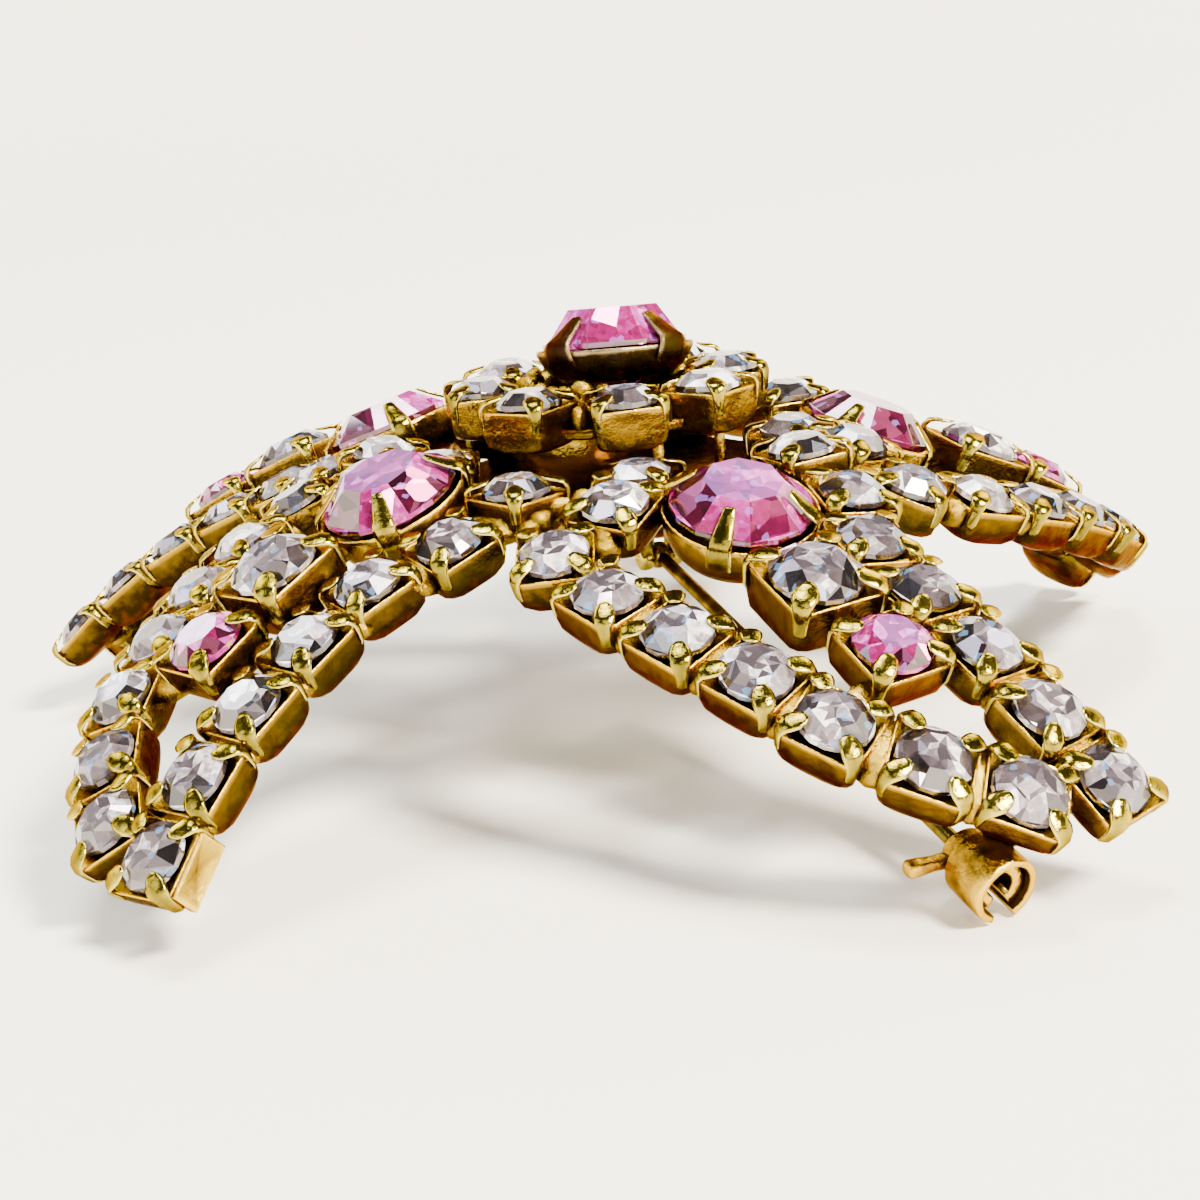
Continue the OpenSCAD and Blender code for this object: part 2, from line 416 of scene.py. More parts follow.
class Metal(Enum):
    """Metals of the brooch."""

    # Thin stamped cups: walls painted dark amber as shade, darker towards their bottoms, orange
    # where old lacquer gathers, painted highlights on the rims
    cup = MetalFinish("gilt_brass_cup", "E6B830", "6E540C", "221604", 0.16, 0.2, 0.8, 0.55, 0.45)
    # The ring's cups, painted brighter and more amber than the other cups to make up for the shade
    # of the top stone over them
    ring = MetalFinish(
        "lacquered_brass_ring", "F2CC44", "B08A14", "5E4606", 0.14, 0.18, 0.8, 0.55, 0.3
    )
    # Claws rubbed by wear: cool yellow with an olive turn and sharp highlights
    claw = MetalFinish(
        "gilt_brass_claw", "E6D468", "9C8A2A", "40380E", 0.12, 0.14, 0.35, 0.25, 0.15
    )
    # Solder plated over with the rest: lumpy, brighter than the walls
    solder = MetalFinish(
        "gilt_soft_solder", "F0CC44", "98780F", "2E1F05", 0.13, 0.24, 0.9, 1.0, 0.4
    )
    # Drawn wire: smooth, greener and duller
    wire = MetalFinish("gilt_steel_wire", "B4A05A", "5C5020", "262010", 0.2, 0.16, 0.12, 0.2, 0.2)
    # Top setting, its plating gone: brown black with a few pale rubs
    bare = MetalFinish("tarnished_brass", "9C8660", "2E2114", "0C0805", 0.22, 0.3, 0.4, 0.8, 0.8)


class Glass(Enum):
    """Stones of the brooch."""

    # Grey mauve glass over silver foil: facets painted black, smoke and white for shade,
    # reflections and highlights, and a few painted blue glints
    lavender = GlassFinish(
        "foiled_lavender_glass",
        ("080606", "120E0E", "201A1C", "342C2E", "50474C", "7C747C", "FAF6FC"),
        "6E6470", 0.2, "5C90C8", "E6DCEA",
    )
    # Rose glass over foil: raspberry facets with painted shade and hot pink painted flashes, and a
    # painted lilac reflection on the table
    pink = GlassFinish(
        "foiled_rose_glass",
        ("140106", "28010E", "400220", "5A0434", "760C50", "983084", "F480D8"),
        "84589C", 0.5, "A070D8", "F078B8",
    )


def new_material(name: str, attributes: tuple[str, ...] = ()) -> tuple:
    """Starts a material.

    Args:
        name: its name.
        attributes: mesh attributes that it reads.

    Returns:
        The material, its graph, the object coordinates, then each attribute's socket.
    """
    mat = bpy.data.materials.new(name)
    mat.use_nodes = True
    g = Graph(mat.node_tree)
    at = g.add("ShaderNodeTexCoord").outputs["Object"]
    read = (g.add("ShaderNodeAttribute", attribute_name=key).outputs["Fac"] for key in attributes)
    return mat, g, at, *read


def metal_material(finish: MetalFinish) -> bpy.types.Material:
    """Worn gilt metal: dents and fine scratches, with painted highlights on its edges and painted
    shade in its recesses.

    Args:
        finish: its colours and shares.

    Returns:
        The material.
    """
    mat, g, at, depth, edge, tone = new_material(finish.material, ("depth", "edge", "tone"))
    # Patches about 2.5 mm across, dents of 0.8 mm, pits of 0.15 mm, scratches drawn out on X
    drawn = g.add("ShaderNodeMapping", {"Vector": at, "Scale": (1.0, 7.0, 2.2)})
    broad, patch, fine, lacquer, scratch = (
        g.add(
            "ShaderNodeTexNoise",
            {"Vector": place, "Scale": scale, "Detail": detail, "Roughness": rough},
        )
        for place, scale, detail, rough in (
            (at, 420, 3, 0.5), (at, 1300, 4, 0.6), (at, 6500, 3, 0.6), (at, 260, 2, 0.5),
            (drawn, 3200, 4, 0.7),
        )
    )
    # Deep, middle and bright gilt by painted shade in recesses, wear and patches
    shade = -0.1
    for term, share in ((patch, 0.6), (depth, 0.75), (tone, 0.16)):
        shade = g.add("ShaderNodeMath", {0: term, 1: share, 2: shade}, operation="MULTIPLY_ADD")
    shade = g.add("ShaderNodeMath", {0: shade, 1: -0.12}, operation="ADD", use_clamp=True)
    base = g.add(
        "ShaderNodeValToRGB", {0: shade},
        [(0.05, finish.bright), (0.72, finish.deep), (0.28, finish.middle)],
    )
    pooled = g.add("ShaderNodeMath", {0: depth, 1: patch}, operation="MULTIPLY")
    dark, olive, orange = (
        g.add("ShaderNodeMapRange", {0: source, 1: low, 2: high, 4: most})
        for source, low, high, most in (
            (broad, 0.52, 0.68, finish.tarnish), (lacquer, 0.48, 0.66, 0.3),
            (pooled, 0.42, 0.62, 0.4),
        )
    )
    # Painted highlight: edges are mixed towards the bright colour
    rim_highlight = g.add("ShaderNodeMath", {0: edge, 1: 0.8}, operation="MULTIPLY")
    # Tarnish, old lacquer over it, and a painted highlight on the rims
    for share, colour in (
        (dark, finish.deep), (olive, OLIVE), (orange, POOLED), (rim_highlight, finish.bright),
    ):
        base = g.add(
            "ShaderNodeMix", {0: share, 6: base, 7: linear(colour)}, data_type="RGBA"
        ).outputs[2]
    rough = finish.rough - finish.rough_spread * 0.4
    for term, share in ((patch, finish.rough_spread), (dark, 0.22), (edge, -0.08)):
        rough = g.add(
            "ShaderNodeMath", {0: term, 1: share, 2: rough}, operation="MULTIPLY_ADD",
            use_clamp=term is edge,
        )
    bump = g.add("ShaderNodeBump", {"Strength": finish.dent, "Distance": 0.00016, "Height": patch})
    for share, distance, height in ((1.0, 0.00003, scratch), (0.7, 0.00002, fine)):
        bump = g.add(
            "ShaderNodeBump",
            {
                "Strength": finish.grain * share, "Distance": distance, "Height": height,
                "Normal": bump,
            },
        )
    shader = g.add(
        "ShaderNodeBsdfPrincipled",
        {
            "Base Color": base, "Metallic": 1.0, "Roughness": rough, "Normal": bump,
            "Specular Tint": linear(GOLD_TINT),
        },
    )
    g.add("ShaderNodeOutputMaterial", {"Surface": shader})
    return mat


def glass_material(finish: GlassFinish) -> bpy.types.Material:
    """Foiled cut glass: the foil throws light back from tilted facets under clear glass, and the
    glass's colour paints each facet's shade, reflection and highlight.

    Args:
        finish: its colours, with the painted shade, reflections and glints.

    Returns:
        The material.
    """
    mat, g, at, facet, tone, table = new_material(finish.material, ("facet", "tone", "table"))
    # Each facet's painted light: its random value shifted by the stone's tone
    mixed = g.add("ShaderNodeMath", {0: tone, 1: 17.3, 2: facet}, operation="MULTIPLY_ADD")
    painted_facet_light = g.add("ShaderNodeMath", {0: mixed}, operation="FRACT")
    # Pavilion facets seen through the crown, painted as reflections, a millimetre across and a
    # third of that
    cells, small = (
        g.add("ShaderNodeTexVoronoi", {"Vector": at, "Scale": scale}).outputs["Color"]
        for scale in (1000, 3000)
    )
    shard, splinter = (g.add("ShaderNodeSeparateColor", {0: colour}) for colour in (cells, small))
    cloud = g.add(
        "ShaderNodeTexNoise", {"Vector": at, "Scale": 2600, "Detail": 4, "Roughness": 0.65}
    )
    value = g.add(
        "ShaderNodeMapRange", {0: painted_facet_light, 1: 0.2, 2: 0.7, 4: 0.62}, interpolation_type="SMOOTHSTEP"
    )
    for term, share in ((shard, 0.3), (splinter, 0.1), (tone, 0.12)):
        value = g.add("ShaderNodeMath", {0: term, 1: share, 2: value}, operation="MULTIPLY_ADD")
    # Painted cloudy patches in the reflections
    painted_cloud = g.add("ShaderNodeMath", {0: cloud, 1: 0.3, 2: -0.25}, operation="MULTIPLY_ADD")
    value = g.add("ShaderNodeMath", {0: value, 1: painted_cloud}, operation="ADD", use_clamp=True)
    count = len(finish.tones) - 1
    stops = [(0.06 + 0.9 * i / count, c) for i, c in enumerate(finish.tones)]
    base = g.add("ShaderNodeValToRGB", {0: value}, [stops[0], stops[-1], *stops[1:-1]])
    # A painted reflection on the table and painted glints on a few small cells
    share = g.add("ShaderNodeMath", {0: table, 1: finish.table_share}, operation="MULTIPLY")
    painted_glint = g.add(
        "ShaderNodeMath", {0: splinter.outputs[1], 1: 0.93}, operation="GREATER_THAN"
    )
    painted_glint = g.add("ShaderNodeMath", {0: painted_glint, 1: 0.35}, operation="MULTIPLY")
    for part, colour in ((share, finish.table), (painted_glint, finish.glint)):
        base = g.add(
            "ShaderNodeMix", {0: part, 6: base, 7: linear(colour)}, data_type="RGBA"
        ).outputs[2]
    # The foil's own facets, tilted away from the crown's
    normal = g.add("ShaderNodeNewGeometry").outputs["Normal"]
    tilt = cells
    for terms, operation in (
        ({1: (0.5, 0.5, 0.5)}, "SUBTRACT"), ({1: (1.1, 1.1, 1.1), 2: normal}, "MULTIPLY_ADD"),
        ({}, "NORMALIZE"),
    ):
        tilt = g.add("ShaderNodeVectorMath", {0: tilt, **terms}, operation=operation)
    foil = g.add(
        "ShaderNodeBsdfPrincipled",
        {
            "Base Color": linear(finish.foil), "Metallic": 1.0, "Roughness": 0.16, "Normal": tilt,
            "Coat Weight": 1.0, "Coat IOR": 1.6, "Coat Roughness": 0.02, "Coat Normal": normal,
        },
    )
    body = g.add(
        "ShaderNodeBsdfPrincipled",
        {"Base Color": base, "Roughness": 0.04, "IOR": 1.65, "Specular IOR Level": 0.7},
    )
    both = g.add("ShaderNodeMixShader", {0: 0.1, 1: body, 2: foil})
    g.add("ShaderNodeOutputMaterial", {"Surface": both})
    return mat


def floor_material() -> bpy.types.Material:
    """Pale matt card.

    Returns:
        The material.
    """
    mat, g, at = new_material("pale_card")
    fibre = g.add("ShaderNodeTexNoise", {"Vector": at, "Scale": 900})
    base = g.add(
        "ShaderNodeMix", {0: fibre, 6: linear("F3F0E6"), 7: linear("F1EEE4")}, data_type="RGBA"
    )
    shader = g.add("ShaderNodeBsdfPrincipled", {"Base Color": base.outputs[2], "Roughness": 0.9})
    g.add("ShaderNodeOutputMaterial", {"Surface": shader})
    return mat


# ---------------------------------------------------------------- shapes


@dataclass
class Surface:
    """Mesh data under construction, in millimetres."""

    points: list[tuple[float, float, float]] = field(default_factory=list)
    faces: list[tuple[int, ...]] = field(default_factory=list)
    depth: list[float] = field(default_factory=list)
    edge: list[float] = field(default_factory=list)
    facet: list[float] = field(default_factory=list)
    table: list[float] = field(default_factory=list)
    smooth: list[bool] = field(default_factory=list)

    def vert(self, p: Iterable[float], depth: float = 0.0, edge: float = 0.0) -> int:
        """Adds a point.

        Args:
            p: position.
            depth: painted shade, 0 at a rim to 1 in a recess.
            edge: 1 on an edge that gets a painted highlight.

        Returns:
            The point's number.
        """
        self.points.append(tuple(float(v) for v in p))
        self.depth.append(depth)
        self.edge.append(edge)
        return len(self.points) - 1

    def face(self, ids: Iterable[int], facet: float = 0.0, table: float = 0.0,
             smooth: bool = True) -> None:
        """Adds a face.

        Args:
            ids: its points, counter-clockwise from outside.
            facet: random value of a cut facet, which picks its painted shade or highlight.
            table: 1 on a stone's table, which gets a painted reflection.
            smooth: smooth shading.
        """
        self.faces.append(tuple(ids))
        self.facet.append(facet)
        self.table.append(table)
        self.smooth.append(smooth)

    @classmethod
    def loft(cls, rings: list, caps: tuple[bool, bool] = (True, True),
             smooth: bool = True) -> "Surface":
        """Joins loops of points, each seen counter-clockwise from the far end.

        Args:
            rings: lists of (point, depth, edge), all of one length.
            caps: closes the first and last ring.
            smooth: smooth shading.

        Returns:
            The surface. If it is closed, its faces point outwards.
        """
        out = cls()
        ids = [[out.vert(*v) for v in ring] for ring in rings]
        n = len(ids[0])
        for a, b in zip(ids, ids[1:]):
            for i in range(n):
                j = (i + 1) % n
                out.face((a[i], a[j], b[j], b[i]), smooth=smooth)
        if caps[0]:
            out.face(reversed(ids[0]), smooth=smooth)
        if caps[1]:
            out.face(ids[-1], smooth=smooth)
        pts = np.array(out.points)
        volume = sum(
            float(np.dot(pts[f[0]], np.cross(pts[f[i]], pts[f[i + 1]])))
            for f in out.faces for i in range(1, len(f) - 1)
        )
        if all(caps) and volume < 0:
            out.faces = [tuple(reversed(f)) for f in out.faces]
        return out

    def placed(self, turn: np.ndarray | None = None,
               shift: Iterable[float] = (0, 0, 0)) -> "Surface":
        """A copy at another place.

        Args:
            turn: 3 by 3 matrix.
            shift: shift after the turn.

        Returns:
            The copy.
        """
        pts = np.array(self.points)
        if turn is not None:
            pts = pts @ np.asarray(turn).T
        return replace(self, points=[tuple(p) for p in pts + np.array(shift)])

    def add(self, other: "Surface") -> None:
        """Adds another surface.

        Args:
            other: the surface.
        """
        base = len(self.points)
        self.points += other.points
        self.faces += [tuple(i + base for i in f) for f in other.faces]
        for key in ("depth", "edge", "facet", "table", "smooth"):
            getattr(self, key).extend(getattr(other, key))

    def mesh(self, name: str) -> bpy.types.Mesh:
        """Writes the surface as a mesh, in metres.

        Args:
            name: the mesh's name.

        Returns:
            The mesh, with its attributes.
        """
        mesh = bpy.data.meshes.new(name)
        mesh.from_pydata([tuple(v * MM for v in p) for p in self.points], [], self.faces)
        for key, domain, values in (
            ("depth", "POINT", self.depth), ("edge", "POINT", self.edge),
            ("facet", "FACE", self.facet), ("table", "FACE", self.table),
        ):
            mesh.attributes.new(key, "FLOAT", domain).data.foreach_set("value", values)
        mesh.polygons.foreach_set("use_smooth", self.smooth)
        mesh.update()
        return mesh


def spun(profile: list, sides: int, centre: tuple[float, float] = (0, 0),
         caps: tuple[bool, bool] = (True, True)) -> Surface:
    """A surface turned round Z, as on a lathe.

    Args:
        profile: radius, height, depth and edge, from the bottom up.
        sides: points round it.
        centre: where its axis stands.
        caps: closes the first and last ring.

    Returns:
        The surface.
    """
    x, y = centre
    return Surface.loft([
        [((x + r * math.cos(a), y + r * math.sin(a), z), depth, edge) for a in angles(sides)]
        for r, z, depth, edge in profile
    ], caps)


def outline(half: float, corner: float, circle: float = 0.0, rib: float = 0.0,
            panel: float = 0.0) -> list[tuple[float, float]]:
    """A square outline with round corners, ribs at them and hollow sides.

    Args:
        half: half the width.
        corner: corner radius.
        circle: 0 keeps the square, 1 makes it a circle.
        rib: how far the corners stand out.
        panel: how far the sides are pressed in.

    Returns:
        Points, counter-clockwise.
    """
    found = []
    per = 6
    for side in range(4):
        for k in range(per):
            t = (k / per) * 2 - 1
            if abs(t) < 0.5:
                a = math.radians(45 + 90 * t)
                push = rib * (1 - (abs(t) / 0.5) ** 2) * 0.7
                x = half - corner + corner * math.cos(a) + push
                y = half - corner + corner * math.sin(a) + push
            else:
                f = (abs(t) - 0.5) / 0.5
                run = (half - corner) * (1 - f)
                deep = half - panel * math.sin(min(f * 1.6, 1) * math.pi / 2)
                x, y = (deep, run) if t < 0 else (run, deep)
            a = math.radians(45 + 45 * t)
            x += (half * math.cos(a) - x) * circle
            y += (half * math.sin(a) - y) * circle
            c, s = math.cos(side * math.pi / 2), math.sin(side * math.pi / 2)
            found.append((x * c - y * s, x * s + y * c))
    return found


def cup_shape(d: float, h: float, s: Sizes, rib: float = 0.03, panel: float = 0.03) -> Surface:
    """A square cup with a rounded bottom, ribs at its corners and a thin rim.

    Args:
        d: the stone's diameter.
        h: depth below the girdle.
        s: the shared sizes.
        rib: how far its corners stand out.
        panel: how far its walls are pressed in.

    Returns:
        The surface, with the girdle at 0.
    """
    play, ledge = 0.03, 0.1  # off the wall's outside, and under the stone
    half = d / 2 + s.box_wall - play
    seat = (d / 2 - ledge) / half
    # height, share of the half width, corner, circle, depth (painted shade), edge (painted
    # highlight), wall
    levels = [
        (-h, 0.42, 0.9, 0, 1.0, 0, 0), (-h + 0.06, 0.70, 0.8, 0, 1.0, 0, 0),
        (-h + 0.2, 0.875, 0.55, 0, 0.95, 0, 0), (-h + 0.45, 0.96, 0.34, 0, 0.85, 0, 0.6),
        (-h * 0.55, 0.985, 0.22, 0, 0.7, 0, 1), (-0.44, 0.985, 0.2, 0, 0.45, 0, 1),
        (-0.24, 1.0, 0.18, 0, 0.12, 0.4, 0), (-0.15, 1.0, 0.18, 0, 0.0, 1, 0),
        (-0.14, 0.96, 0.18, 0, 0.1, 1, 0), (-0.2, 0.93, 0.3, 0, 0.15, 0, 0),
        (-0.24, seat, 1.0, 1, 0.35, 0, 0), (-0.4 * d + 0.1, 0.35, 1.0, 1, 1.0, 0, 0),
    ]
    return Surface.loft([
        [
            ((x, y, z), depth, edge)
            for x, y in outline(half * k, corner * half * k, circle, rib * wall, panel * wall)
        ]
        for z, k, corner, circle, depth, edge, wall in levels
    ])


def claw_shape(path: list[tuple[float, float]], widths: list[float], thick: list[float]) -> Surface:
    """A claw along +X: a leaf of metal that bends inwards over the crown.

    Args:
        path: (distance out, height) of its middle line, from the foot up.
        widths: full width at each point.
        thick: thickness at each point.

    Returns:
        The surface.
    """
    pts = np.array(path, float)
    rings = []
    for i, (w, t) in enumerate(zip(widths, thick)):
        d = unit(pts[min(i + 1, len(pts) - 1)] - pts[max(i - 1, 0)])
        n = np.array([d[1], -d[0]])  # outwards and up
        ring = []
        for k in range(8):
            ang = 2 * math.pi * k / 8
            side = abs(math.cos(ang))
            p = pts[i] + n * (math.sin(ang) * t / 2)
            # Painted shade: darker towards the foot and down the flat faces, which stand for a dark
            # reflection; a painted highlight along the side edges
            shade = 0.4 * (1 - i / len(pts)) + (0.2 if side < 0.3 else 0.0)
            ring.append(((p[0], math.cos(ang) * w / 2, p[1]), shade, float(side > 0.75)))
        rings.append(ring)
    return Surface.loft(rings)


def stone_shape(d: float, rng: np.random.Generator, plain: bool = False,
                table_r: float = 0.285, crown: float = 0.2) -> Surface:
    """A cut stone: table split for its painted reflection pattern, crown and pavilion facets.

    Args:
        d: girdle diameter.
        rng: source of the facets' values and of the hand polish.
        plain: eight large crown facets instead of stars and kites.
        table_r: radius of the table, as a share of the diameter.
        crown: height of the crown, as a share of the diameter.

    Returns:
        The surface, with the girdle at 0.
    """
    out = Surface()
    top, mid, girdle, point = crown * d, 0.59 * crown * d, 0.12, -0.42 * d

    def around(r: float, z: float, n: int, offset: float, jitter: float = 0.0) -> list[int]:
        """Adds a circle of points.

        Args:
            r: its radius, as a share of the diameter.
            z: its height.
            n: how many points.
            offset: turn, in steps between points.
            jitter: largest random shift, in such steps.

        Returns:
            Their numbers.
        """
        found = []
        for k in range(n):
            a = 2 * math.pi * (k + offset + rng.uniform(-jitter, jitter)) / n
            rr = r * d * (1 + rng.uniform(-jitter, jitter) * 0.5)
            found.append(out.vert((rr * math.cos(a), rr * math.sin(a), z)))
        return found

    def cut(ids: Iterable[int], on_table: float = 0.0, value: float | None = None) -> None:
        """Adds a flat facet, with a random value unless it has one; the value picks its painted
        light.
        """
        out.face(ids, float(rng.random()) if value is None else value, on_table, False)

    table = around(table_r, top, 8, 0.5, 0.06)
    # The table's core stands for a painted reflection of the culet
    core = around(0.14, top, 8, 0.0, 0.15)
    centre = out.vert((0.02 * d, 0.01 * d, top))
    upper = around(0.5, girdle, 16, 0.0)
    lower = around(0.5, -girdle, 16, 0.0)
    tip = out.vert((0, 0, point))
    values = rng.random(4)
    for k in range(8):
        n = (k + 1) % 8
        cut((centre, core[k], core[n]), 1.0, float(values[k // 2]))
        cut((core[k], table[k], core[n]), 1.0)
        cut((core[n], table[k], table[n]), 1.0, float(values[(k // 2 + 2) % 4]))
    if plain:
        for k in range(8):
            n, m = (k + 1) % 8, (2 * k + 3) % 16
            cut((table[k], upper[2 * k + 1], upper[m], table[n]))
            cut((upper[2 * k + 1], upper[(2 * k + 2) % 16], upper[m]))
    else:
        star = around(0.395, mid, 8, 0.0, 0.05)
        for k in range(8):
            n = (k + 1) % 8
            cut((table[k], star[n], table[n]))
            kite = float(rng.random())
            cut((table[k], star[k], upper[2 * k + 1]), value=kite)
            cut((table[k], upper[2 * k + 1], star[n]), value=kite)
            cut((star[k], upper[2 * k], upper[2 * k + 1]))
            cut((star[n], upper[2 * k + 1], upper[(2 * k + 2) % 16]))
    for k in range(16):
        n = (k + 1) % 16
        cut((upper[k], lower[k], lower[n], upper[n]))
        cut((lower[k], tip, lower[n]))
    return out


def bowl_shape(d: float, h: float) -> Surface:
    """A round bowl with a thin rim.

    Args:
        d: the stone's diameter.
        h: depth below the girdle.

    Returns:
        The surface, with the girdle at 0.
    """
    wall, rim = 0.34, -0.3
    outer = d / 2 + wall
    # radius, height, depth (painted shade); points above the rim get a painted highlight
    profile = [
        (0.05, -h, 1.0), (outer * 0.36, -h + 0.01, 1.0), (outer * 0.58, -h * 0.97, 0.95),
        (outer * 0.74, -h * 0.85, 0.85), (outer * 0.86, -h * 0.68, 0.7),
        (outer * 0.94, -h * 0.47, 0.5), (outer * 0.985, -h * 0.28, 0.3), (outer, -0.42, 0.15),
        (outer, -0.26, 0.0), (outer - 0.05, -0.2, 0.0), (outer - 0.13, -0.24, 0.3),
        (outer - 0.3, -0.7, 0.95),
    ]
    return spun([(r, z, depth, float(z > rim)) for r, z, depth in profile], 48, caps=(True, False))


def blob_shape(rng: np.random.Generator, power: float = 1.0) -> Surface:
    """A lump of solder of unit radius.

    Args:
        rng: source of its bumps.
        power: 1 for a ball, less for a rounded block.

    Returns:
        The surface.
    """
    waves, rows, cols = 6, 7, 12
    phase = rng.uniform(0, 6.28, (waves, 3))
    freq = rng.uniform(1.5, 4.5, (waves, 3))
    rings = []
    for i in range(rows):
        th = math.pi * (i + 0.5) / rows
        ring = []
        for j in range(cols):
            a = 2 * math.pi * j / cols
            p = np.array([math.sin(th) * math.cos(a), math.sin(th) * math.sin(a), -math.cos(th)])
            p = np.sign(p) * np.abs(p) ** power
            swell = sum(math.sin(float(f @ p) + float(q.sum())) for f, q in zip(freq, phase))
            # Painted shade: darker towards the bottom
            ring.append((p * (1 + 0.05 * swell), 0.35 - 0.3 * p[2], 0.0))
        rings.append(ring)
    return Surface.loft(rings)


def tube(points: list, radii: list[float], sides: int = 16) -> Surface:
    """A round wire through points.

    Args:
        points: the middle line.
        radii: radius at each point.
        sides: sides of the section.

    Returns:
        The surface.
    """
    pts = [np.array(p, float) for p in points]
    run = pts[-1] - pts[0]
    upright = abs(run[2]) > 0.9 * np.linalg.norm(run)
    ref = np.array([1.0, 0.0, 0.0] if upright else [0.0, 0.0, 1.0])
    recess = 0.2
    rings = []
    for i, (p, r) in enumerate(zip(pts, radii)):
        d = unit(pts[min(i + 1, len(pts) - 1)] - pts[max(i - 1, 0)])
        x = unit(np.cross(ref, d))
        y = np.cross(d, x)
        rings.append([
            (p + r * (x * math.cos(a) + y * math.sin(a)), recess, 0.0) for a in angles(sides)
        ])
    return Surface.loft(rings)


# ---------------------------------------------------------------- repeats


class Kind(Enum):
    """Shapes that the nodes put in place, with the material of each."""

    strand_cup = ("cup", 0)
    ring_cup = ("ring", 1)
    middle_cup = ("cup", 2)
    rose_cup = ("cup", 3)
    claw = ("claw", 4)
    pink_bowl = ("cup", 5)
    long_claw = ("claw", 6)
    blob = ("solder", 7)
    web = ("solder", 15)
    strand_stone = ("lavender", 8)
    middle_stone = ("lavender", 9)
    rose_stone = ("pink", 10)
    pink_stone = ("pink", 11)
    top_stone = ("pink", 12)
    top_bowl = ("bare", 13)
    top_claw = ("bare", 14)

    @property
    def finish(self) -> str:
        """Name of its material."""
        return self.value[0]

    @property
    def number(self) -> int:
        """Its number in the points' attribute."""
        return self.value[1]


@dataclass(frozen=True)
class Placement:
    """One repeat of a shape."""

    kind: Kind
    frame: Frame
    scale: tuple[float, float, float] = (1.0, 1.0, 1.0)


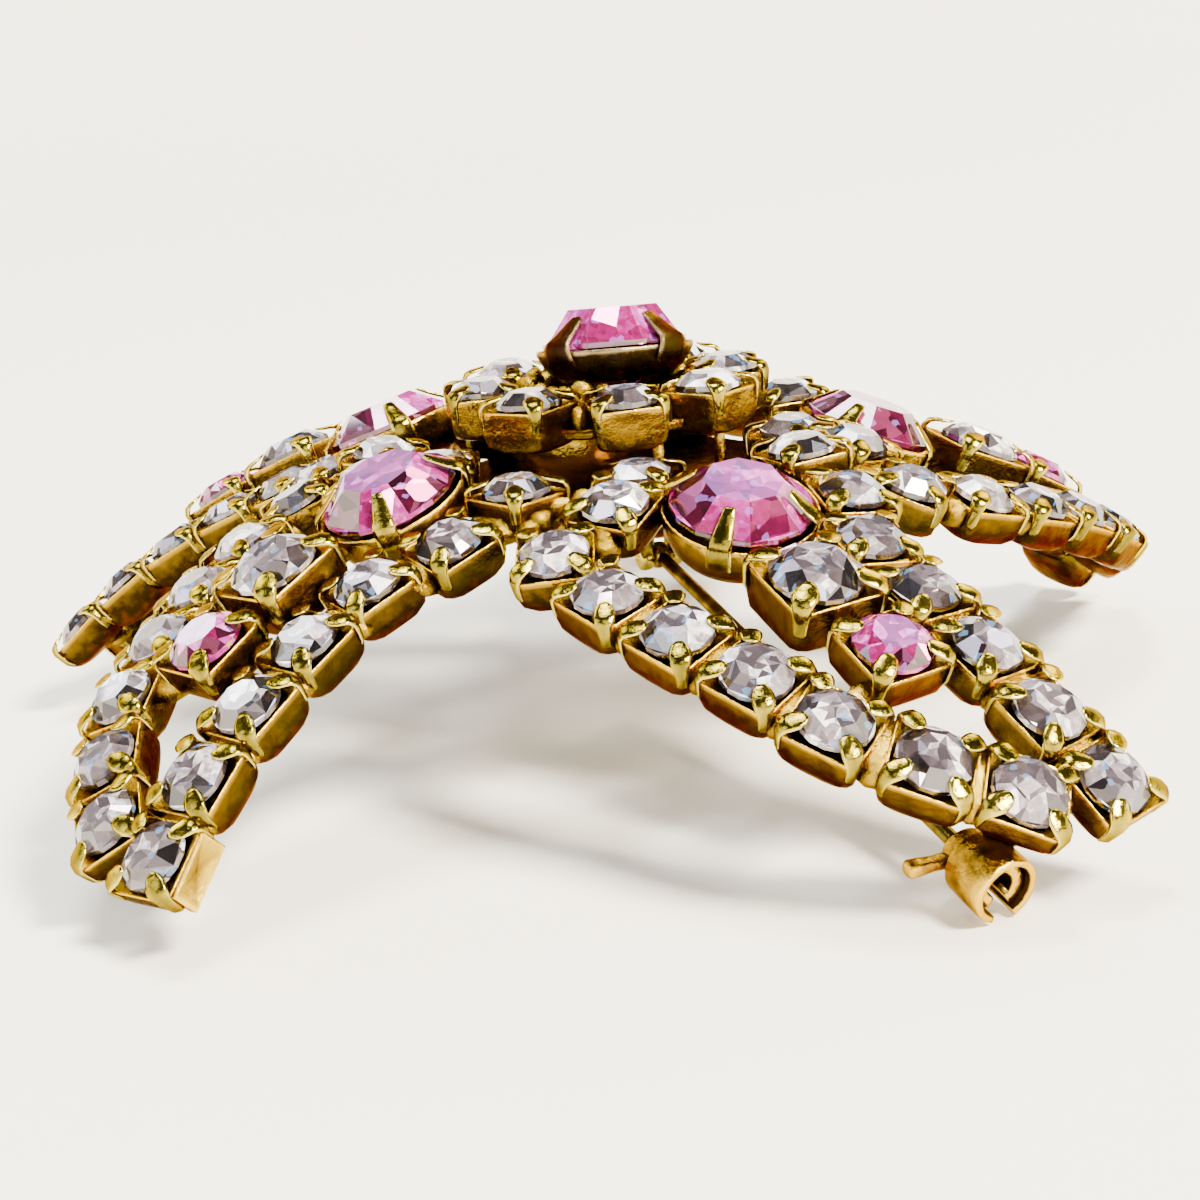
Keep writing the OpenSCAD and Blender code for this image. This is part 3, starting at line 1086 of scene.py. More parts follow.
class Repeater:
    """Puts shapes in place with Geometry Nodes and bakes the result."""

    def __init__(self, shapes: dict[Kind, Surface],
                 finishes: dict[str, bpy.types.Material]) -> None:
        """Makes the shapes' objects.

        Args:
            shapes: the surface of each kind.
            finishes: the materials by name.
        """
        self.finishes = finishes
        self.objects = {
            kind: linked("shape_" + kind.name, surface.mesh("shape_" + kind.name))
            for kind, surface in shapes.items()
        }
        self.groups: dict[tuple, bpy.types.NodeTree] = {}

    def _group(self, kinds: tuple[Kind, ...]) -> bpy.types.NodeTree:
        """The group that puts the shapes of some kinds on the points of each kind.

        Args:
            kinds: the kinds in use.

        Returns:
            The group, with one object and one material input for each kind.
        """
        if kinds in self.groups:
            return self.groups[kinds]
        tree = bpy.data.node_groups.new("brooch_pieces", "GeometryNodeTree")
        ends = ((" shape", "Object"), (" finish", "Material"))
        for label, data in (
            ("Points", "Geometry"),
            *((kind.name + end, socket) for kind in kinds for end, socket in ends),
            ("Wobble", "Float"), ("Seed", "Int"),
        ):
            tree.interface.new_socket(label, in_out="INPUT", socket_type="NodeSocket" + data)
        tree.interface.new_socket("Geometry", in_out="OUTPUT", socket_type="NodeSocketGeometry")
        g = Graph(tree)
        get = g.add("NodeGroupInput").outputs
        number, turn, size = (
            g.add("GeometryNodeInputNamedAttribute", {"Name": key}, data_type=data)
            .outputs["Attribute"]
            for key, data in (("kind", "INT"), ("turn", "FLOAT_VECTOR"), ("size", "FLOAT_VECTOR"))
        )
        low, high = (
            g.add("ShaderNodeVectorMath", {0: end, "Scale": get["Wobble"]}, operation="SCALE")
            for end in ((-1, -1, -1), (1, 1, 1))
        )
        wobble = g.add(
            "FunctionNodeRandomValue", {0: low, 1: high, "Seed": get["Seed"]},
            data_type="FLOAT_VECTOR",
        )
        base, extra = (g.add("FunctionNodeEulerToRotation", {0: v}) for v in (turn, wobble))
        turned = g.add("FunctionNodeRotateRotation", {0: base, 1: extra}, rotation_space="LOCAL")
        tone = g.add(
            "FunctionNodeRandomValue", {2: 0.0, 3: 1.0, "Seed": get["Seed"]}, data_type="FLOAT"
        )
        join = g.add("GeometryNodeJoinGeometry")
        for kind in kinds:
            same = g.add(
                "FunctionNodeCompare", {2: number, 3: kind.number},
                data_type="INT", operation="EQUAL",
            )
            shape = g.add("GeometryNodeObjectInfo", {"Object": get[kind.name + " shape"]})
            put = g.add(
                "GeometryNodeInstanceOnPoints",
                {
                    "Points": get["Points"], "Selection": same,
                    "Instance": shape.outputs["Geometry"], "Rotation": turned, "Scale": size,
                },
            )
            kept = g.add(
                "GeometryNodeStoreNamedAttribute",
                {"Geometry": put, "Name": "tone", "Value": tone.outputs[1]},
                data_type="FLOAT", domain="INSTANCE",
            )
            real = g.add("GeometryNodeRealizeInstances", {0: kept})
            done = g.add(
                "GeometryNodeSetMaterial",
                {"Geometry": real, "Material": get[kind.name + " finish"]},
            )
            tree.links.new(done.outputs[0], join.inputs[0])
        g.add("NodeGroupOutput", {0: join})
        self.groups[kinds] = tree
        return tree

    def _repeats(self, name: str, placements: list[Placement], wobble: float) -> bpy.types.Mesh:
        """Bakes the repeats of one piece.

        Args:
            name: the piece's name.
            placements: its repeats.
            wobble: largest random turn, in degrees.

        Returns:
            The mesh.
        """
        points = bpy.data.meshes.new(name + "_points")
        points.from_pydata([tuple(p.frame.at * MM) for p in placements], [], [])
        turns = [v for p in placements for v in Matrix(p.frame.axes().tolist()).to_euler("XYZ")]
        for key, kind, prop, values in (
            ("turn", "FLOAT_VECTOR", "vector", turns),
            ("size", "FLOAT_VECTOR", "vector", [v for p in placements for v in p.scale]),
            ("kind", "INT", "value", [p.kind.number for p in placements]),
        ):
            points.attributes.new(key, kind, "POINT").data.foreach_set(prop, values)
        holder = linked(name + "_points", points)
        kinds = tuple(k for k in Kind if any(p.kind is k for p in placements))
        tree = self._group(kinds)
        mod = holder.modifiers.new("pieces", "NODES")
        mod.node_group = tree
        keys = {i.name: i.identifier for i in tree.interface.items_tree if i.in_out == "INPUT"}
        for kind in kinds:
            mod[keys[kind.name + " shape"]] = self.objects[kind]
            mod[keys[kind.name + " finish"]] = self.finishes[kind.finish]
        mod[keys["Wobble"]] = math.radians(wobble)
        mod[keys["Seed"]] = SEED + sum(map(ord, name)) % 97
        graph = bpy.context.evaluated_depsgraph_get()
        baked = bpy.data.meshes.new_from_object(holder.evaluated_get(graph), depsgraph=graph)
        bpy.data.objects.remove(holder)
        return baked

    def bake(self, name: str, placements: list[Placement], wobble: float = 0.0,
             extra: tuple[Surface, str] | None = None) -> bpy.types.Object:
        """Bakes one piece.

        Args:
            name: the piece's name.
            placements: its repeats.
            wobble: largest random turn, in degrees.
            extra: a single surface in millimetres, with its finish.

        Returns:
            The piece, in the brooch's frame.
        """
        mesh = self._repeats(name, placements, wobble) if placements else bpy.data.meshes.new(name)
        obj = linked(name, mesh)
        if extra:
            surface, finish = extra
            added = surface.mesh(name + "_single")
            added.materials.append(self.finishes[finish])
            added.attributes.new("tone", "FLOAT", "POINT")
            both = [obj, linked(name + "_single", added)]
            with bpy.context.temp_override(
                active_object=obj, object=obj, selected_objects=both, selected_editable_objects=both
            ):
                bpy.ops.object.join()
        obj.data.name = name
        return obj

    def clear(self) -> None:
        """Removes the shapes' objects and the groups."""
        for obj in self.objects.values():
            bpy.data.objects.remove(obj)
        for tree in self.groups.values():
            bpy.data.node_groups.remove(tree)


# ---------------------------------------------------------------- assemblies


def corners(frame: Frame, d: float, s: Sizes) -> list[Placement]:
    """The four claws of a square cup.

    Args:
        frame: the cup's frame.
        d: the stone's diameter.
        s: the shared sizes.

    Returns:
        The claws' placements.
    """
    widest, rounding = 2.38, 0.935  # the claw's own widest place, and the cup's round corner
    grow = (d / s.strand_d) ** 0.7
    shift = (d / 2 + s.box_wall) * math.sqrt(2) * rounding - widest * grow
    return [
        Placement(Kind.claw, frame.turned(a).moved(along=shift), (grow, grow, grow))
        for a in QUARTERS
    ]


class PetalPieces:
    """Builds the pieces of one petal."""

    def __init__(self, petal: Petal, dome: Dome, repeater: Repeater) -> None:
        """Works out the petal's frames.

        Args:
            petal: which petal.
            dome: the dome that it lies on.
            repeater: bakes the pieces.
        """
        self.petal = petal
        self.repeater = repeater
        self.s = dome.s
        bend = petal.value
        near = list(Petal)[list(Petal).index(petal) - 1].value
        self.neighbour = dome.strand(near, LEFT_SIDE, near.left_fall)[-1]
        self.right = dome.strand(bend, RIGHT_SIDE, bend.right_fall)
        self.left = dome.strand(bend, LEFT_SIDE, bend.left_fall)
        self.spine = dome.spine(bend)

    def _lump(self, a: Frame, b: Frame, deep: float = 1.15) -> Placement:
        """Solder between two cups.

        Args:
            a: first cup.
            b: second cup.
            deep: depth below the girdles.

        Returns:
            The placement.
        """
        pa, pb = a.at - a.up * deep, b.at - b.up * deep
        gap = float(np.linalg.norm(pb - pa))
        up = unit(a.up + b.up)
        along = (pb - pa) / gap
        frame = Frame((pa + pb) / 2, up, unit(along - up * float(along @ up)))
        length, width, height = max(0.45, gap / 2 - 1.35), 0.75, 0.5
        return Placement(Kind.blob, frame, (length, width, height))

    def _web(self, a: Frame, b: Frame) -> Placement:
        """The solder that fills the slit between neighbouring cups.

        Args:
            a: first cup.
            b: second cup.

        Returns:
            The placement.
        """
        gap = float(np.linalg.norm(b.at - a.at)) - self.s.strand_d - 2 * self.s.box_wall
        length, width, height = max(0.3, gap / 2 + 0.32), 1.58, 0.6
        return Placement(Kind.web, self._lump(a, b, 0.82).frame, (length, width, height))

    def _punched_wall(self, f: Frame) -> Surface:
        """The outer wall of the end cup, pressed in as a four-sided pyramid.

        Args:
            f: the end cup's frame.

        Returns:
            The surface, in the brooch's frame.
        """
        s = self.s
        wall = s.strand_d / 2 + s.box_wall - 0.12
        low, high = -s.small_box_h + 0.1, -0.16
        middle = (low + high) / 2
        w, h = 1.5, (high - low) / 2
        # share of the wall, how far it stands out, depth (painted shade), edge (painted highlight)
        levels = (
            (1.0, -0.1, 0.5, 0), (1.0, 0.24, 0.0, 0.6), (0.94, 0.32, 0.0, 1),
            (0.87, 0.32, 0.2, 0.6), (0.02, 0.08, 0.6, 0.0),
        )
        rings = [
            [((x * w * k, -wall - lift, middle + z * h * k), depth, edge)
             for x, z in ((-1, -1), (1, -1), (1, 1), (-1, 1))]
            for k, lift, depth, edge in levels
        ]
        return Surface.loft(rings, smooth=False).placed(f.axes(), f.at)

    def _grains(self) -> list[Placement]:
        """Grains of solder in the notch between this petal and the one beside it.

        Returns:
            Their placements.
        """
        rng = np.random.default_rng(SEED + len(self.petal.name))
        found = []
        for k in range(16):
            a, b = self.neighbour, self.right[6 + k % 2]
            t = float(rng.uniform(0.38, 0.62))
            spot = Frame(a.at + (b.at - a.at) * t, b.up, b.along)
            size = float(rng.uniform(0.3, 0.62))
            shifts = ((-0.9, 0.9), (-0.5, 0.5), (-1.3, -0.3))
            spot = spot.moved(*(float(rng.uniform(*ends)) for ends in shifts))
            found.append(Placement(Kind.blob, spot, (size, size * 1.15, size * 0.9)))
        return found

    def setting(self) -> bpy.types.Object:
        """The petal's soldered metal.

        Returns:
            The piece.
        """
        s = self.s
        deep_over = 6  # cups higher than this, in millimetres, are drawn deeper
        found: list[Placement] = []
        for f in self.right + self.left:
            found.append(Placement(Kind.strand_cup, f, (1, 1, 1.22 if f.at[2] > deep_over else 1)))
            found += corners(f, s.strand_d, s)
        pink, middle, rose = self.spine
        found.append(Placement(Kind.pink_bowl, pink))
        found += [Placement(Kind.long_claw, pink.turned(a)) for a in QUARTERS]
        for kind, f, d in ((Kind.middle_cup, middle, s.middle_d), (Kind.rose_cup, rose, s.rose_d)):
            found += [Placement(kind, f), *corners(f, d, s)]
        for side in (self.right, self.left):
            found += [self._web(a, b) for a, b in zip(side, side[1:])]
        found += [
            self._lump(a, b) for a, b in (
                (self.right[0], self.left[0]), (pink, middle), (middle, rose),
                (rose, self.left[2]), (rose, self.right[2]), (pink, self.left[5]),
            )
        ]
        punched = self.petal is Petal.front_left
        extra = (self._punched_wall(self.left[0]), "solder") if punched else None
        return self.repeater.bake(
            "metal_" + self.petal.name, found + self._grains(), wobble=1.6, extra=extra
        )

    def stones(self) -> dict[str, bpy.types.Object]:
        """The petal's stones.

        Returns:
            Pieces by the node that each stands for.
        """
        name = self.petal.name
        bake = self.repeater.bake
        frames = self.right + self.left
        strand = [Placement(Kind.strand_stone, f.turned(HALF_FACET)) for f in frames]
        found = {"strand_stones_" + name: bake("stones_" + name, strand, wobble=3.0)}
        for node, piece, kind, f in zip(
            ("large_pink_", "middle_lavender_", "small_pink_"), ("pink_", "middle_", "rose_"),
            (Kind.pink_stone, Kind.middle_stone, Kind.rose_stone), self.spine,
        ):
            found[node + name] = bake(piece + name, [Placement(kind, f)])
        return found


class RosettePieces:
    """Builds the rosette: ring, core, top setting and their stones."""

    def __init__(self, dome: Dome, repeater: Repeater) -> None:
        """Works out the frames.

        Args:
            dome: the dome that it stands on.
            repeater: bakes the pieces.
        """
        self.s = dome.s
        self.repeater = repeater
        self.ring = dome.ring()
        self.top = dome.top()

    def _core(self) -> Surface:
        """The bowl, posts, collar and plate under the ring.

        Returns:
            The surface.
        """
        s = self.s
        x, y = s.axis
        plate = s.dome_top - s.small_box_h - 0.25
        bottom = s.dome_top + s.ring_rise - s.ring_box_h
        out = Surface()
        # Third column of each profile: painted shade, dark under the ring's cups; fourth: painted
        # highlight
        for profile, centre in (
            ([(8.6, plate - 0.8, 0.7, 0), (8.78, plate - 0.7, 0.6, 0),
              (8.8, plate - 0.1, 0.8, 0), (8.7, plate, 0.9, 0)], (x, y)),
            ([(1.5, plate - 0.3, 0.8, 0), (1.6, plate + 0.6, 0.6, 0), (1.95, plate + 0.95, 0.2, 0),
              (2.5, plate + 1.35, 0, 0.3), (2.8, plate + 1.85, 0, 0.3), (2.95, plate + 2.5, 0.1, 0),
              (3.0, bottom - 0.1, 0.4, 0), (2.9, bottom + 0.3, 0.8, 0)], (x - 1.6, y - 1.2)),
            ([(5.7, bottom, 0.9, 0), (6.0, bottom + 0.1, 0.8, 0), (6.0, bottom + 0.5, 0.9, 0)],
             (x, y)),
            ([(4.35, bottom + 0.3, 0.9, 0), (4.4, bottom + 1.0, 0.8, 0),
              (4.0, s.dome_top + s.top_rise - 2.45, 0.7, 0)], (x, y)),
        ):
            out.add(spun(profile, 64, centre))
        for px, py in ((2.3, -4.6), (5.4, -2.6), (0, 5.6)):
            ends = [(x + px, y + py, z) for z in (plate - 0.2, bottom + 0.4)]
            out.add(tube(ends, [0.28, 0.28]))
        return out

    def setting(self) -> bpy.types.Object:
        """The ring's soldered metal.

        Returns:
            The piece.
        """
        s = self.s
        found: list[Placement] = []
        for f, g in zip(self.ring, self.ring[1:] + self.ring[:1]):
            found += [Placement(Kind.ring_cup, f), *corners(f, s.strand_d, s)]
            middle = Frame((f.at + g.at) / 2, f.up, unit(f.along + g.along))
            for up, along, size in ((-1.0, -0.3, (0.5, 0.42, 0.7)), (-0.5, -1.7, (0.9, 0.75, 0.5))):
                found.append(Placement(Kind.blob, middle.moved(up=up, along=along), size))
        rng = np.random.default_rng(SEED + 5)
        mid = Frame(np.array([*s.axis, s.dome_top + s.ring_rise]), f.up, f.along)
        grains = 26
        for k in range(grains):
            place = mid.turned(360 * k / grains)
            size = float(rng.uniform(0.32, 0.6))
            shift = float(rng.uniform(3.5, 4.2))
            found.append(Placement(
                Kind.blob, place.moved(along=shift, up=float(rng.uniform(-0.35, 0.25))),
                (size, size * 1.2, size),
            ))
        return self.repeater.bake("metal_rosette", found, wobble=1.2, extra=(self._core(), "ring"))

    def crown(self) -> bpy.types.Object:
        """The tarnished setting of the top stone.

        Returns:
            The piece.
        """
        found = [Placement(Kind.top_bowl, self.top)]
        found += [Placement(Kind.top_claw, self.top.turned(a)) for a in QUARTERS]
        return self.repeater.bake("metal_top", found)

    def stones(self) -> dict[str, bpy.types.Object]:
        """The rosette's stones.

        Returns:
            Pieces by the node that each stands for.
        """
        found = {}
        for i, f in enumerate(self.ring, 1):
            stone = [Placement(Kind.strand_stone, f.turned(HALF_FACET))]
            found[f"rosette_stone_{i}"] = self.repeater.bake(f"ring_stone_{i}", stone, wobble=3.0)
        found["top_stone"] = self.repeater.bake("top_gem", [Placement(Kind.top_stone, self.top)])
        return found


@dataclass(frozen=True)
class PinSizes:
    """Sizes of the hinge, the wire and the catch, in millimetres."""

    hinge_at: tuple[float, float, float] = (2.1, 3, 7.7)
    catch_at: tuple[float, float, float] = (13.8, -27.6, 1.6)
    stem_r: float = 0.35
    point: float = 3.0
    lobe_r: float = 0.7
    knuckle_w: float = 0.8
    ear_w: float = 0.7
    ear_at: float = 0.83
    catch_r: float = 1.5
    catch_half: float = 1.3
    sleeve_r: float = 1.1
    bore: float = 0.55
    slot_half: float = 0.5
    tab_w: float = 0.8
    tab_end: float = 2.88


def block(levels: list[tuple[float, float, float, float]], corner: float = 0.3) -> Surface:
    """A rounded block that follows Z.

    Args:
        levels: height, half width on X, half width on Y and recess value, which paints shade.
        corner: corner radius, as a share of the smaller half width.

    Returns:
        The surface.
    """
    return Surface.loft([
        [((x * hx, y * hy, z), depth, 0.0) for x, y in outline(1.0, corner)]
        for z, hx, hy, depth in levels
    ])


def lobe(r: float, w: float) -> Surface:
    """A crowned disc round the Y axis.

    Args:
        r: its radius.
        w: its width.

    Returns:
        The surface.
    """
    profile = [(0.05, -0.5), (0.7, -0.5), (0.93, -0.4), (1.0, -0.2), (1.0, 0.2), (0.93, 0.4),
               (0.7, 0.5), (0.05, 0.5)]
    return Surface.loft([
        [((r * k * math.cos(a), w * y, r * k * math.sin(a)), 0.5 - abs(y), 0.0)
         for a in angles(24)]
        for k, y in profile
    ])


class PinPieces:
    """Builds the hinge, the wire and the two halves of the catch."""

    def __init__(self, sizes: PinSizes, s: Sizes, tip: Frame, repeater: Repeater) -> None:
        """Works out the frames of the hinge and the catch.

        Args:
            sizes: the pin's sizes.
            s: the shared sizes.
            tip: the cup that the catch hangs under.
            repeater: bakes the pieces.
        """
        axis = np.array([*s.axis, 0.0])
        self.sizes = sizes
        self.s = s
        self.tip = tip
        self.repeater = repeater
        hinge, catch = np.array(sizes.hinge_at) + axis, np.array(sizes.catch_at) + axis
        self.length = float(np.linalg.norm(catch - hinge))
        stem = (catch - hinge) / self.length
        lift = np.cross(stem, unit(np.cross([0, 0, 1], stem)))
        self.hinge_frame = Frame(hinge, lift, stem)
        self.catch_frame = Frame(catch, lift, stem)

    def _bake(self, name: str, frame: Frame, local: list[Surface], finish: str,
              standing: Surface | None = None) -> bpy.types.Object:
        """Bakes surfaces given in a pin frame.

        Args:
            name: the piece's name.
            frame: the frame.
            local: surfaces in the frame.
            finish: the material.
            standing: a surface in the brooch's frame.

        Returns:
            The piece.
        """
        whole = Surface()
        for surface in local:
            whole.add(surface.placed(frame.axes(), frame.at))
        if standing:
            whole.add(standing)
        return self.repeater.bake(name, [], extra=(whole, finish))

    def _shell(self, ends: tuple[float, float], radii: tuple[float, float], half_slot: float,
               slant: float = 0.0) -> Surface:
        """A rolled tube with a slot facing down.

        Args:
            ends: first and last place along the wire.
            radii: inner and outer radius.
            half_slot: half the slot's width.
            slant: how much further the mouth reaches on one side.

        Returns:
            The surface.
        """
        inner, outer = radii
        gap = math.asin(half_slot / outer)
        rings = []
        for t in np.linspace(gap, 2 * math.pi - gap, 40):
            start, end = ends[0], ends[1] - slant * (0.5 + 0.5 * math.sin(t + 0.6))
            # Painted shade inside the bore and painted highlights on the edges of its mouths
            section = [
                (outer - 0.1, start, 0.1, 1), (outer - 0.01, start + 0.1, 0.1, 0.5),
                (outer, (start + end) / 2, 0.2, 0), (outer - 0.01, end - 0.12, 0.1, 0.5),
                (outer - 0.08, end, 0.0, 1), (inner + 0.06, end, 0.2, 1),
                (inner, end - 0.08, 0.7, 0), (inner, start + 0.08, 1.0, 0),
                (inner + 0.05, start, 0.6, 0),
            ]
            rings.append([
                ((x, r * math.sin(t), -r * math.cos(t)), depth, edge)
                for r, x, depth, edge in section
            ])
        return Surface.loft(rings)

    def hinge(self) -> bpy.types.Object:
        """Two ears on a bracket under the plate, with their rivet.

        Returns:
            The piece.
        """
        p, s = self.sizes, self.s
        # The blocks' last column is painted shade, darker up towards the plate
        ear = (
            lobe(p.lobe_r, p.ear_w),
            block([(0, 0.62, 0.33, 0.2), (1.4, 0.66, 0.34, 0.4), (2.6, 0.7, 0.35, 0.8)]),
        )
        local = [part.placed(shift=(0, side * p.ear_at, 0)) for side in (-1, 1) for part in ear]
        local.append(lobe(0.3, 2 * p.ear_at + p.ear_w + 0.04))
        plate = s.dome_top - s.small_box_h - 1.0
        x, y, z = self.hinge_frame.at
        foot = block([
            (z + 1.6, 0.72, 1.1, 0.3), (z + 1.75, 0.8, 1.18, 0.2),
            (plate - 0.5, 0.86, 1.25, 0.4), (plate + 0.1, 1.0, 1.4, 0.8),
        ])
        a = math.atan2(self.hinge_frame.along[1], self.hinge_frame.along[0])
        turn = np.array([[math.cos(a), -math.sin(a), 0], [math.sin(a), math.cos(a), 0], [0, 0, 1]])
        foot = foot.placed(turn, (x, y, 0))
        return self._bake("hinge_bracket", self.hinge_frame, local, "claw", foot)

    def stem(self) -> bpy.types.Object:
        """The wire with its eye and its point.

        Returns:
            The piece.
        """
        p = self.sizes
        xs = [0.1, *range(4, 28, 4), self.length - p.point + 1, self.length - 0.8,
              self.length + 0.4, self.length + 1]
        rs = [p.stem_r] * 8 + [p.stem_r * 0.72, p.stem_r * 0.4, 0.08]
        wire = tube([(x, 0, 0) for x in xs], rs, 20)
        return self._bake("pin_wire", self.hinge_frame, [lobe(p.lobe_r, p.knuckle_w), wire], "wire")

    def housing(self) -> bpy.types.Object:
        """The rolled barrel of the catch on its foot.

        Returns:
            The piece.
        """
        p, low = self.sizes, -self.s.small_box_h
        barrel = self._shell((-p.catch_half, p.catch_half), (p.sleeve_r + 0.06, p.catch_r),
                             p.slot_half + 0.1, 0.45)
        # Painted shade: the foot is darker at both ends
        foot = block([(low - 1.3, 0.7, 0.7, 0.8), (low - 1.0, 0.8, 0.8, 0.6),
                      (low - 0.3, 0.88, 0.88, 0.5), (low + 0.15, 0.8, 0.8, 0.9)], 0.5)
        foot = foot.placed(self.tip.axes(), self.tip.at)
        return self._bake("catch_barrel", self.catch_frame, [barrel], "cup", foot)

    def sleeve(self) -> bpy.types.Object:
        """The turning sleeve of the catch with its tab.

        Returns:
            The piece.
        """
        p = self.sizes
        start = -p.catch_half - 1.0
        rolled = self._shell((start, 0.55), (p.bore, p.sleeve_r), p.slot_half)
        # Painted shade: the tab is darker at its root
        tab = block([(0.8, 0.32, 0.26, 0.3), (1.2, 0.34, 0.3, 0.1), (1.7, 0.33, 0.27, 0.1),
                     (2.3, 0.39, 0.33, 0.0), (p.tab_end - 0.14, 0.4, 0.34, 0.0),
                     (p.tab_end - 0.03, 0.32, 0.27, 0.0), (p.tab_end, 0.16, 0.13, 0.0)], 0.7)
        sideways = np.array([[1, 0, 0], [0, 0, -1], [0, 1, 0]])
        tab = tab.placed(sideways, (start + p.tab_w / 2, 0, 0))
        return self._bake("catch_sleeve_tab", self.catch_frame, [rolled, tab], "cup")


def shapes(s: Sizes) -> dict[Kind, Surface]:
    """The shape of every kind.

    Args:
        s: the shared sizes.

    Returns:
        Surfaces by kind.
    """
    rng = np.random.default_rng(SEED)
    claw = claw_shape(
        [(2.16, -1.3), (2.33, -0.95), (2.37, -0.45), (2.38, -0.1), (2.24, 0.18), (1.98, 0.31),
         (1.66, 0.37), (1.38, 0.45), (1.22, 0.53)],
        [0.3, 0.46, 0.54, 0.66, 0.84, 0.98, 0.94, 0.7, 0.3],
        [0.10, 0.2, 0.24, 0.26, 0.24, 0.2, 0.16, 0.12, 0.06],
    )
    long_claw = claw_shape(
        [(3.55, -1.3), (3.7, -0.7), (3.76, -0.2), (3.66, 0.1), (3.38, 0.3), (3.0, 0.56),
         (2.6, 0.88), (2.3, 1.14), (2.22, 1.2)],
        [1.15, 1.15, 1.12, 1.08, 1.0, 0.88, 0.72, 0.58, 0.42],
        [0.10, 0.16, 0.2, 0.22, 0.2, 0.18, 0.16, 0.14, 0.06],
    )
    top_claw = claw_shape(
        [(3.7, -1.0), (3.95, -0.5), (4.05, -0.1), (3.95, 0.2), (3.6, 0.45), (3.2, 0.75),
         (2.8, 1.08), (2.45, 1.34), (2.32, 1.42)],
        [1.9, 1.9, 1.8, 1.65, 1.45, 1.25, 1.05, 0.85, 0.6],
        [0.12, 0.2, 0.24, 0.24, 0.22, 0.2, 0.18, 0.14, 0.08],
    )
    return {
        Kind.strand_cup: cup_shape(s.strand_d, s.small_box_h, s),
        Kind.ring_cup: cup_shape(s.strand_d, s.ring_box_h + 0.4, s, 0.08, 0.1),
        Kind.middle_cup: cup_shape(s.middle_d, s.middle_box_h, s),
        Kind.rose_cup: cup_shape(s.rose_d, s.rose_box_h, s),
        Kind.claw: claw,
        Kind.pink_bowl: bowl_shape(s.pink_d, s.bowl_h),
        Kind.long_claw: long_claw,
        Kind.blob: blob_shape(rng),
        Kind.web: blob_shape(rng, 0.45),
        Kind.strand_stone: stone_shape(s.strand_d, rng, True),
        Kind.middle_stone: stone_shape(s.middle_d, rng),
        Kind.rose_stone: stone_shape(s.rose_d, rng),
        Kind.pink_stone: stone_shape(s.pink_d, rng, plain=True),
        Kind.top_stone: stone_shape(s.top_d, rng, True, 0.325, 0.245),
        Kind.top_bowl: bowl_shape(s.top_d, 1.9),
        Kind.top_claw: top_claw,
    }


# ---------------------------------------------------------------- stage


def camera(s: Sizes) -> None:
    """Puts the camera where the photograph was taken.

    Args:
        s: the shared sizes.
    """
    data = bpy.data.cameras.new("view")
    data.sensor_width = 36.0
    data.lens = 63.57
    data.shift_x = 0.0127
    data.clip_start = 0.005
    data.clip_end = 5.0
    cam = linked("view", data)
    yaw, pitch, roll = (math.radians(v) for v in (-1.07, 16.33, -4.89))
    f = Vector((math.sin(yaw) * math.cos(pitch), math.cos(yaw) * math.cos(pitch), -math.sin(pitch)))
    r = Vector((math.cos(yaw), -math.sin(yaw), 0))
    u = r.cross(f)
    x = r * math.cos(roll) + u * math.sin(roll)
    y = u * math.cos(roll) - r * math.sin(roll)
    m = Matrix((x, y, -f)).transposed().to_4x4()
    back, height = 105.36, 37.28
    m.translation = Vector((s.axis[0], s.axis[1] - back, height)) * MM
    cam.matrix_world = m
    bpy.context.scene.camera = cam


@dataclass(frozen=True)
class SoftBox:
    """A square studio light: place and side in millimetres, power in watts."""

    name: str
    at: tuple[float, float, float]
    side: float
    power: float
    colour: str

    def build(self) -> None:
        """Adds the light, facing the brooch."""
        data = bpy.data.lights.new(self.name, "AREA")
        data.shape = "SQUARE"
        data.size = self.side * MM
        data.energy = self.power
        data.color = linear(self.colour)[:3]
        obj = linked(self.name, data)
        obj.location = Vector(self.at) * MM
        middle = Vector((0, 0, 0.008))
        obj.rotation_euler = (middle - obj.location).to_track_quat("-Z", "Y").to_euler()


BOXES = (
    SoftBox("key", (430, -340, 600), 190, 31, "FFF3DE"),
    SoftBox("left", (-560, -260, 460), 320, 2.2, "EAF0FF"),
    SoftBox("over", (-40, 120, 760), 260, 8.5, "FFFFFF"),
    SoftBox("front", (60, -640, 520), 240, 1.3, "FFFFFF"),
    SoftBox("rim", (380, 520, 420), 220, 3.4, "FFF8EC"),
    SoftBox("back_left", (-460, 430, 480), 240, 3.4, "F4F6FF"),
)


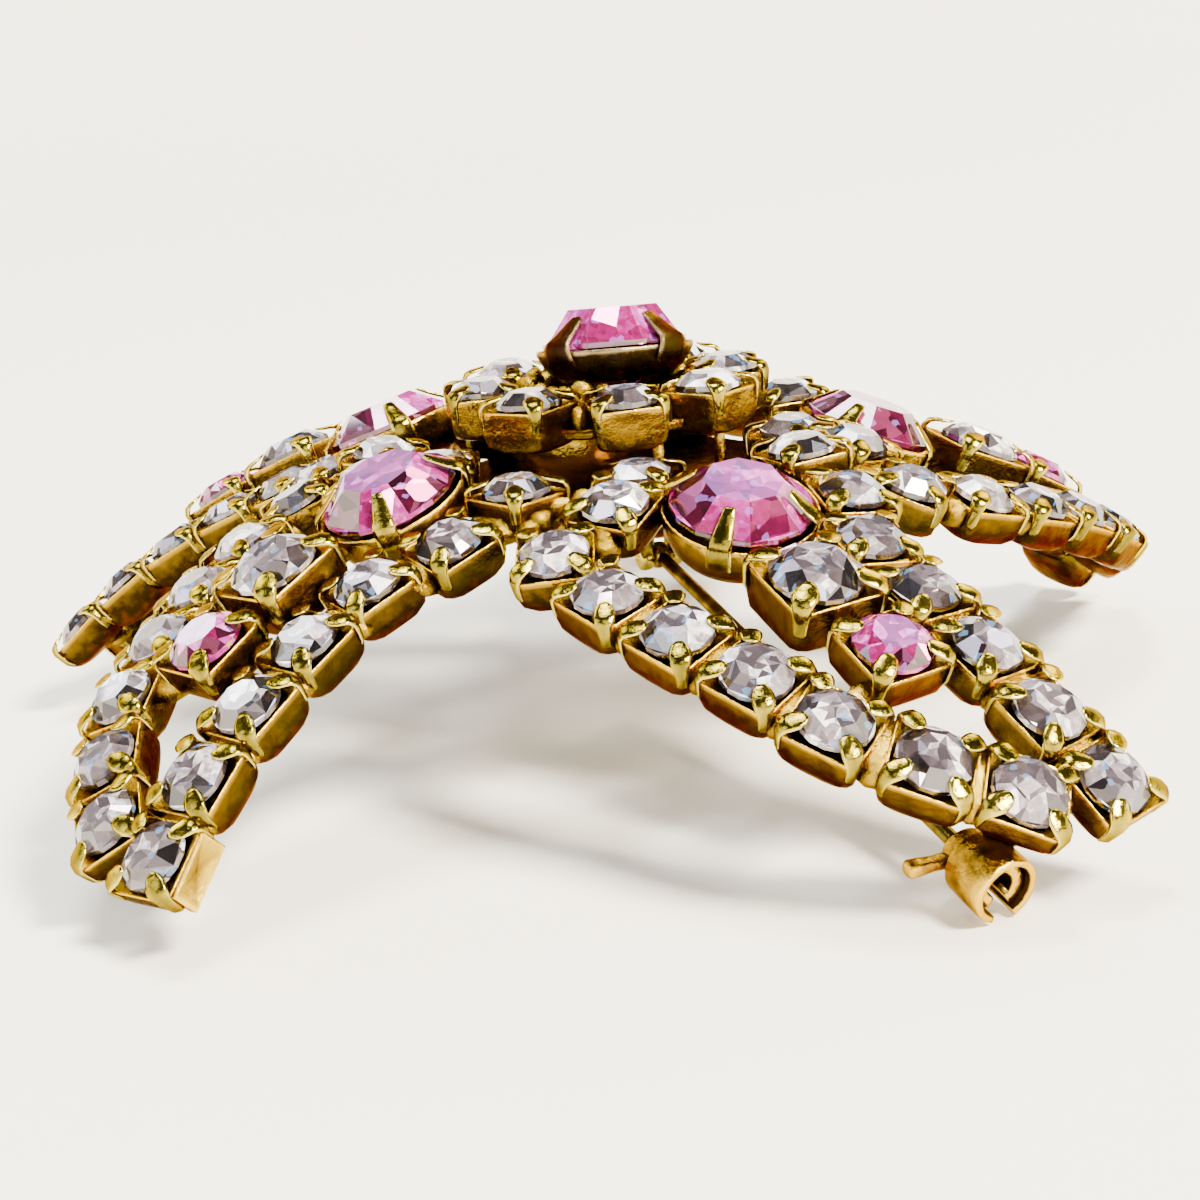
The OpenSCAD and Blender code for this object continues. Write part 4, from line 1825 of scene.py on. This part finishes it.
def stage() -> None:
    """A pale dish for a floor, soft lights and a dim surround."""
    profile = [(0.5, 0), (60, 0), (160, 0), (300, 0), (380, 6), (450, 28), (500, 70), (525, 130),
               (530, 220), (534, 220), (529, 120), (503, 60), (452, 16), (380, -6), (0.5, -6)]
    mesh = spun([(r, z, 0.0, 0.0) for r, z in reversed(profile)], 96).mesh("floor")
    mesh.materials.append(floor_material())
    floor = linked("floor", mesh)
    for box in BOXES:
        box.build()
    world = bpy.data.worlds.new("surround")
    world.use_nodes = True
    g = Graph(world.node_tree)
    back = g.add("ShaderNodeBackground", {"Color": linear("D8D6D2"), "Strength": 0.17})
    g.add("ShaderNodeOutputWorld", {"Surface": back})
    bpy.context.scene.world = world


# ---------------------------------------------------------------- main


def show(obj: bpy.types.Object, node: str, body: str) -> None:
    """Lets a piece stand for a node.

    Args:
        obj: the piece.
        node: the node.
        body: the body that it rides on.
    """
    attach(obj, body)
    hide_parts(node)
    LOG.info("%s: %d triangles", obj.name, sum(len(p.vertices) - 2 for p in obj.data.polygons))


def main() -> None:
    """Builds the looks in order."""
    logging.basicConfig(level=logging.INFO, format="%(name)s: %(message)s")
    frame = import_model()
    LOG.info("frame: %d nodes", len(frame["nodes"]))
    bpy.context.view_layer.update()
    camera(SIZES)
    stage()
    finishes = {m.name: metal_material(m.value) for m in Metal}
    finishes |= {m.name: glass_material(m.value) for m in Glass}
    dome = Dome(SIZES)
    repeater = Repeater(shapes(SIZES), finishes)
    for petal in Petal:
        pieces = PetalPieces(petal, dome, repeater)
        show(pieces.setting(), "petal_setting_" + petal.name, "brooch")
        for node, obj in pieces.stones().items():
            pink = "pink" in node
            show(obj, node, "brooch")
    rosette = RosettePieces(dome, repeater)
    show(rosette.setting(), "rosette_setting", "brooch")
    show(rosette.crown(), "top_setting", "brooch")
    for node, obj in rosette.stones().items():
        show(obj, node, "brooch")
    tip = dome.strand(Petal.front_right.value, RIGHT_SIDE, Petal.front_right.value.right_fall)[0]
    pin = PinPieces(PinSizes(), SIZES, tip, repeater)
    show(pin.hinge(), "pin_hinge", "brooch")
    show(pin.stem(), "pin_stem", "pin")
    show(pin.housing(), "catch_housing", "brooch")
    show(pin.sleeve(), "catch_sleeve", "sleeve")
    repeater.clear()


if __name__ == "__main__":
    main()
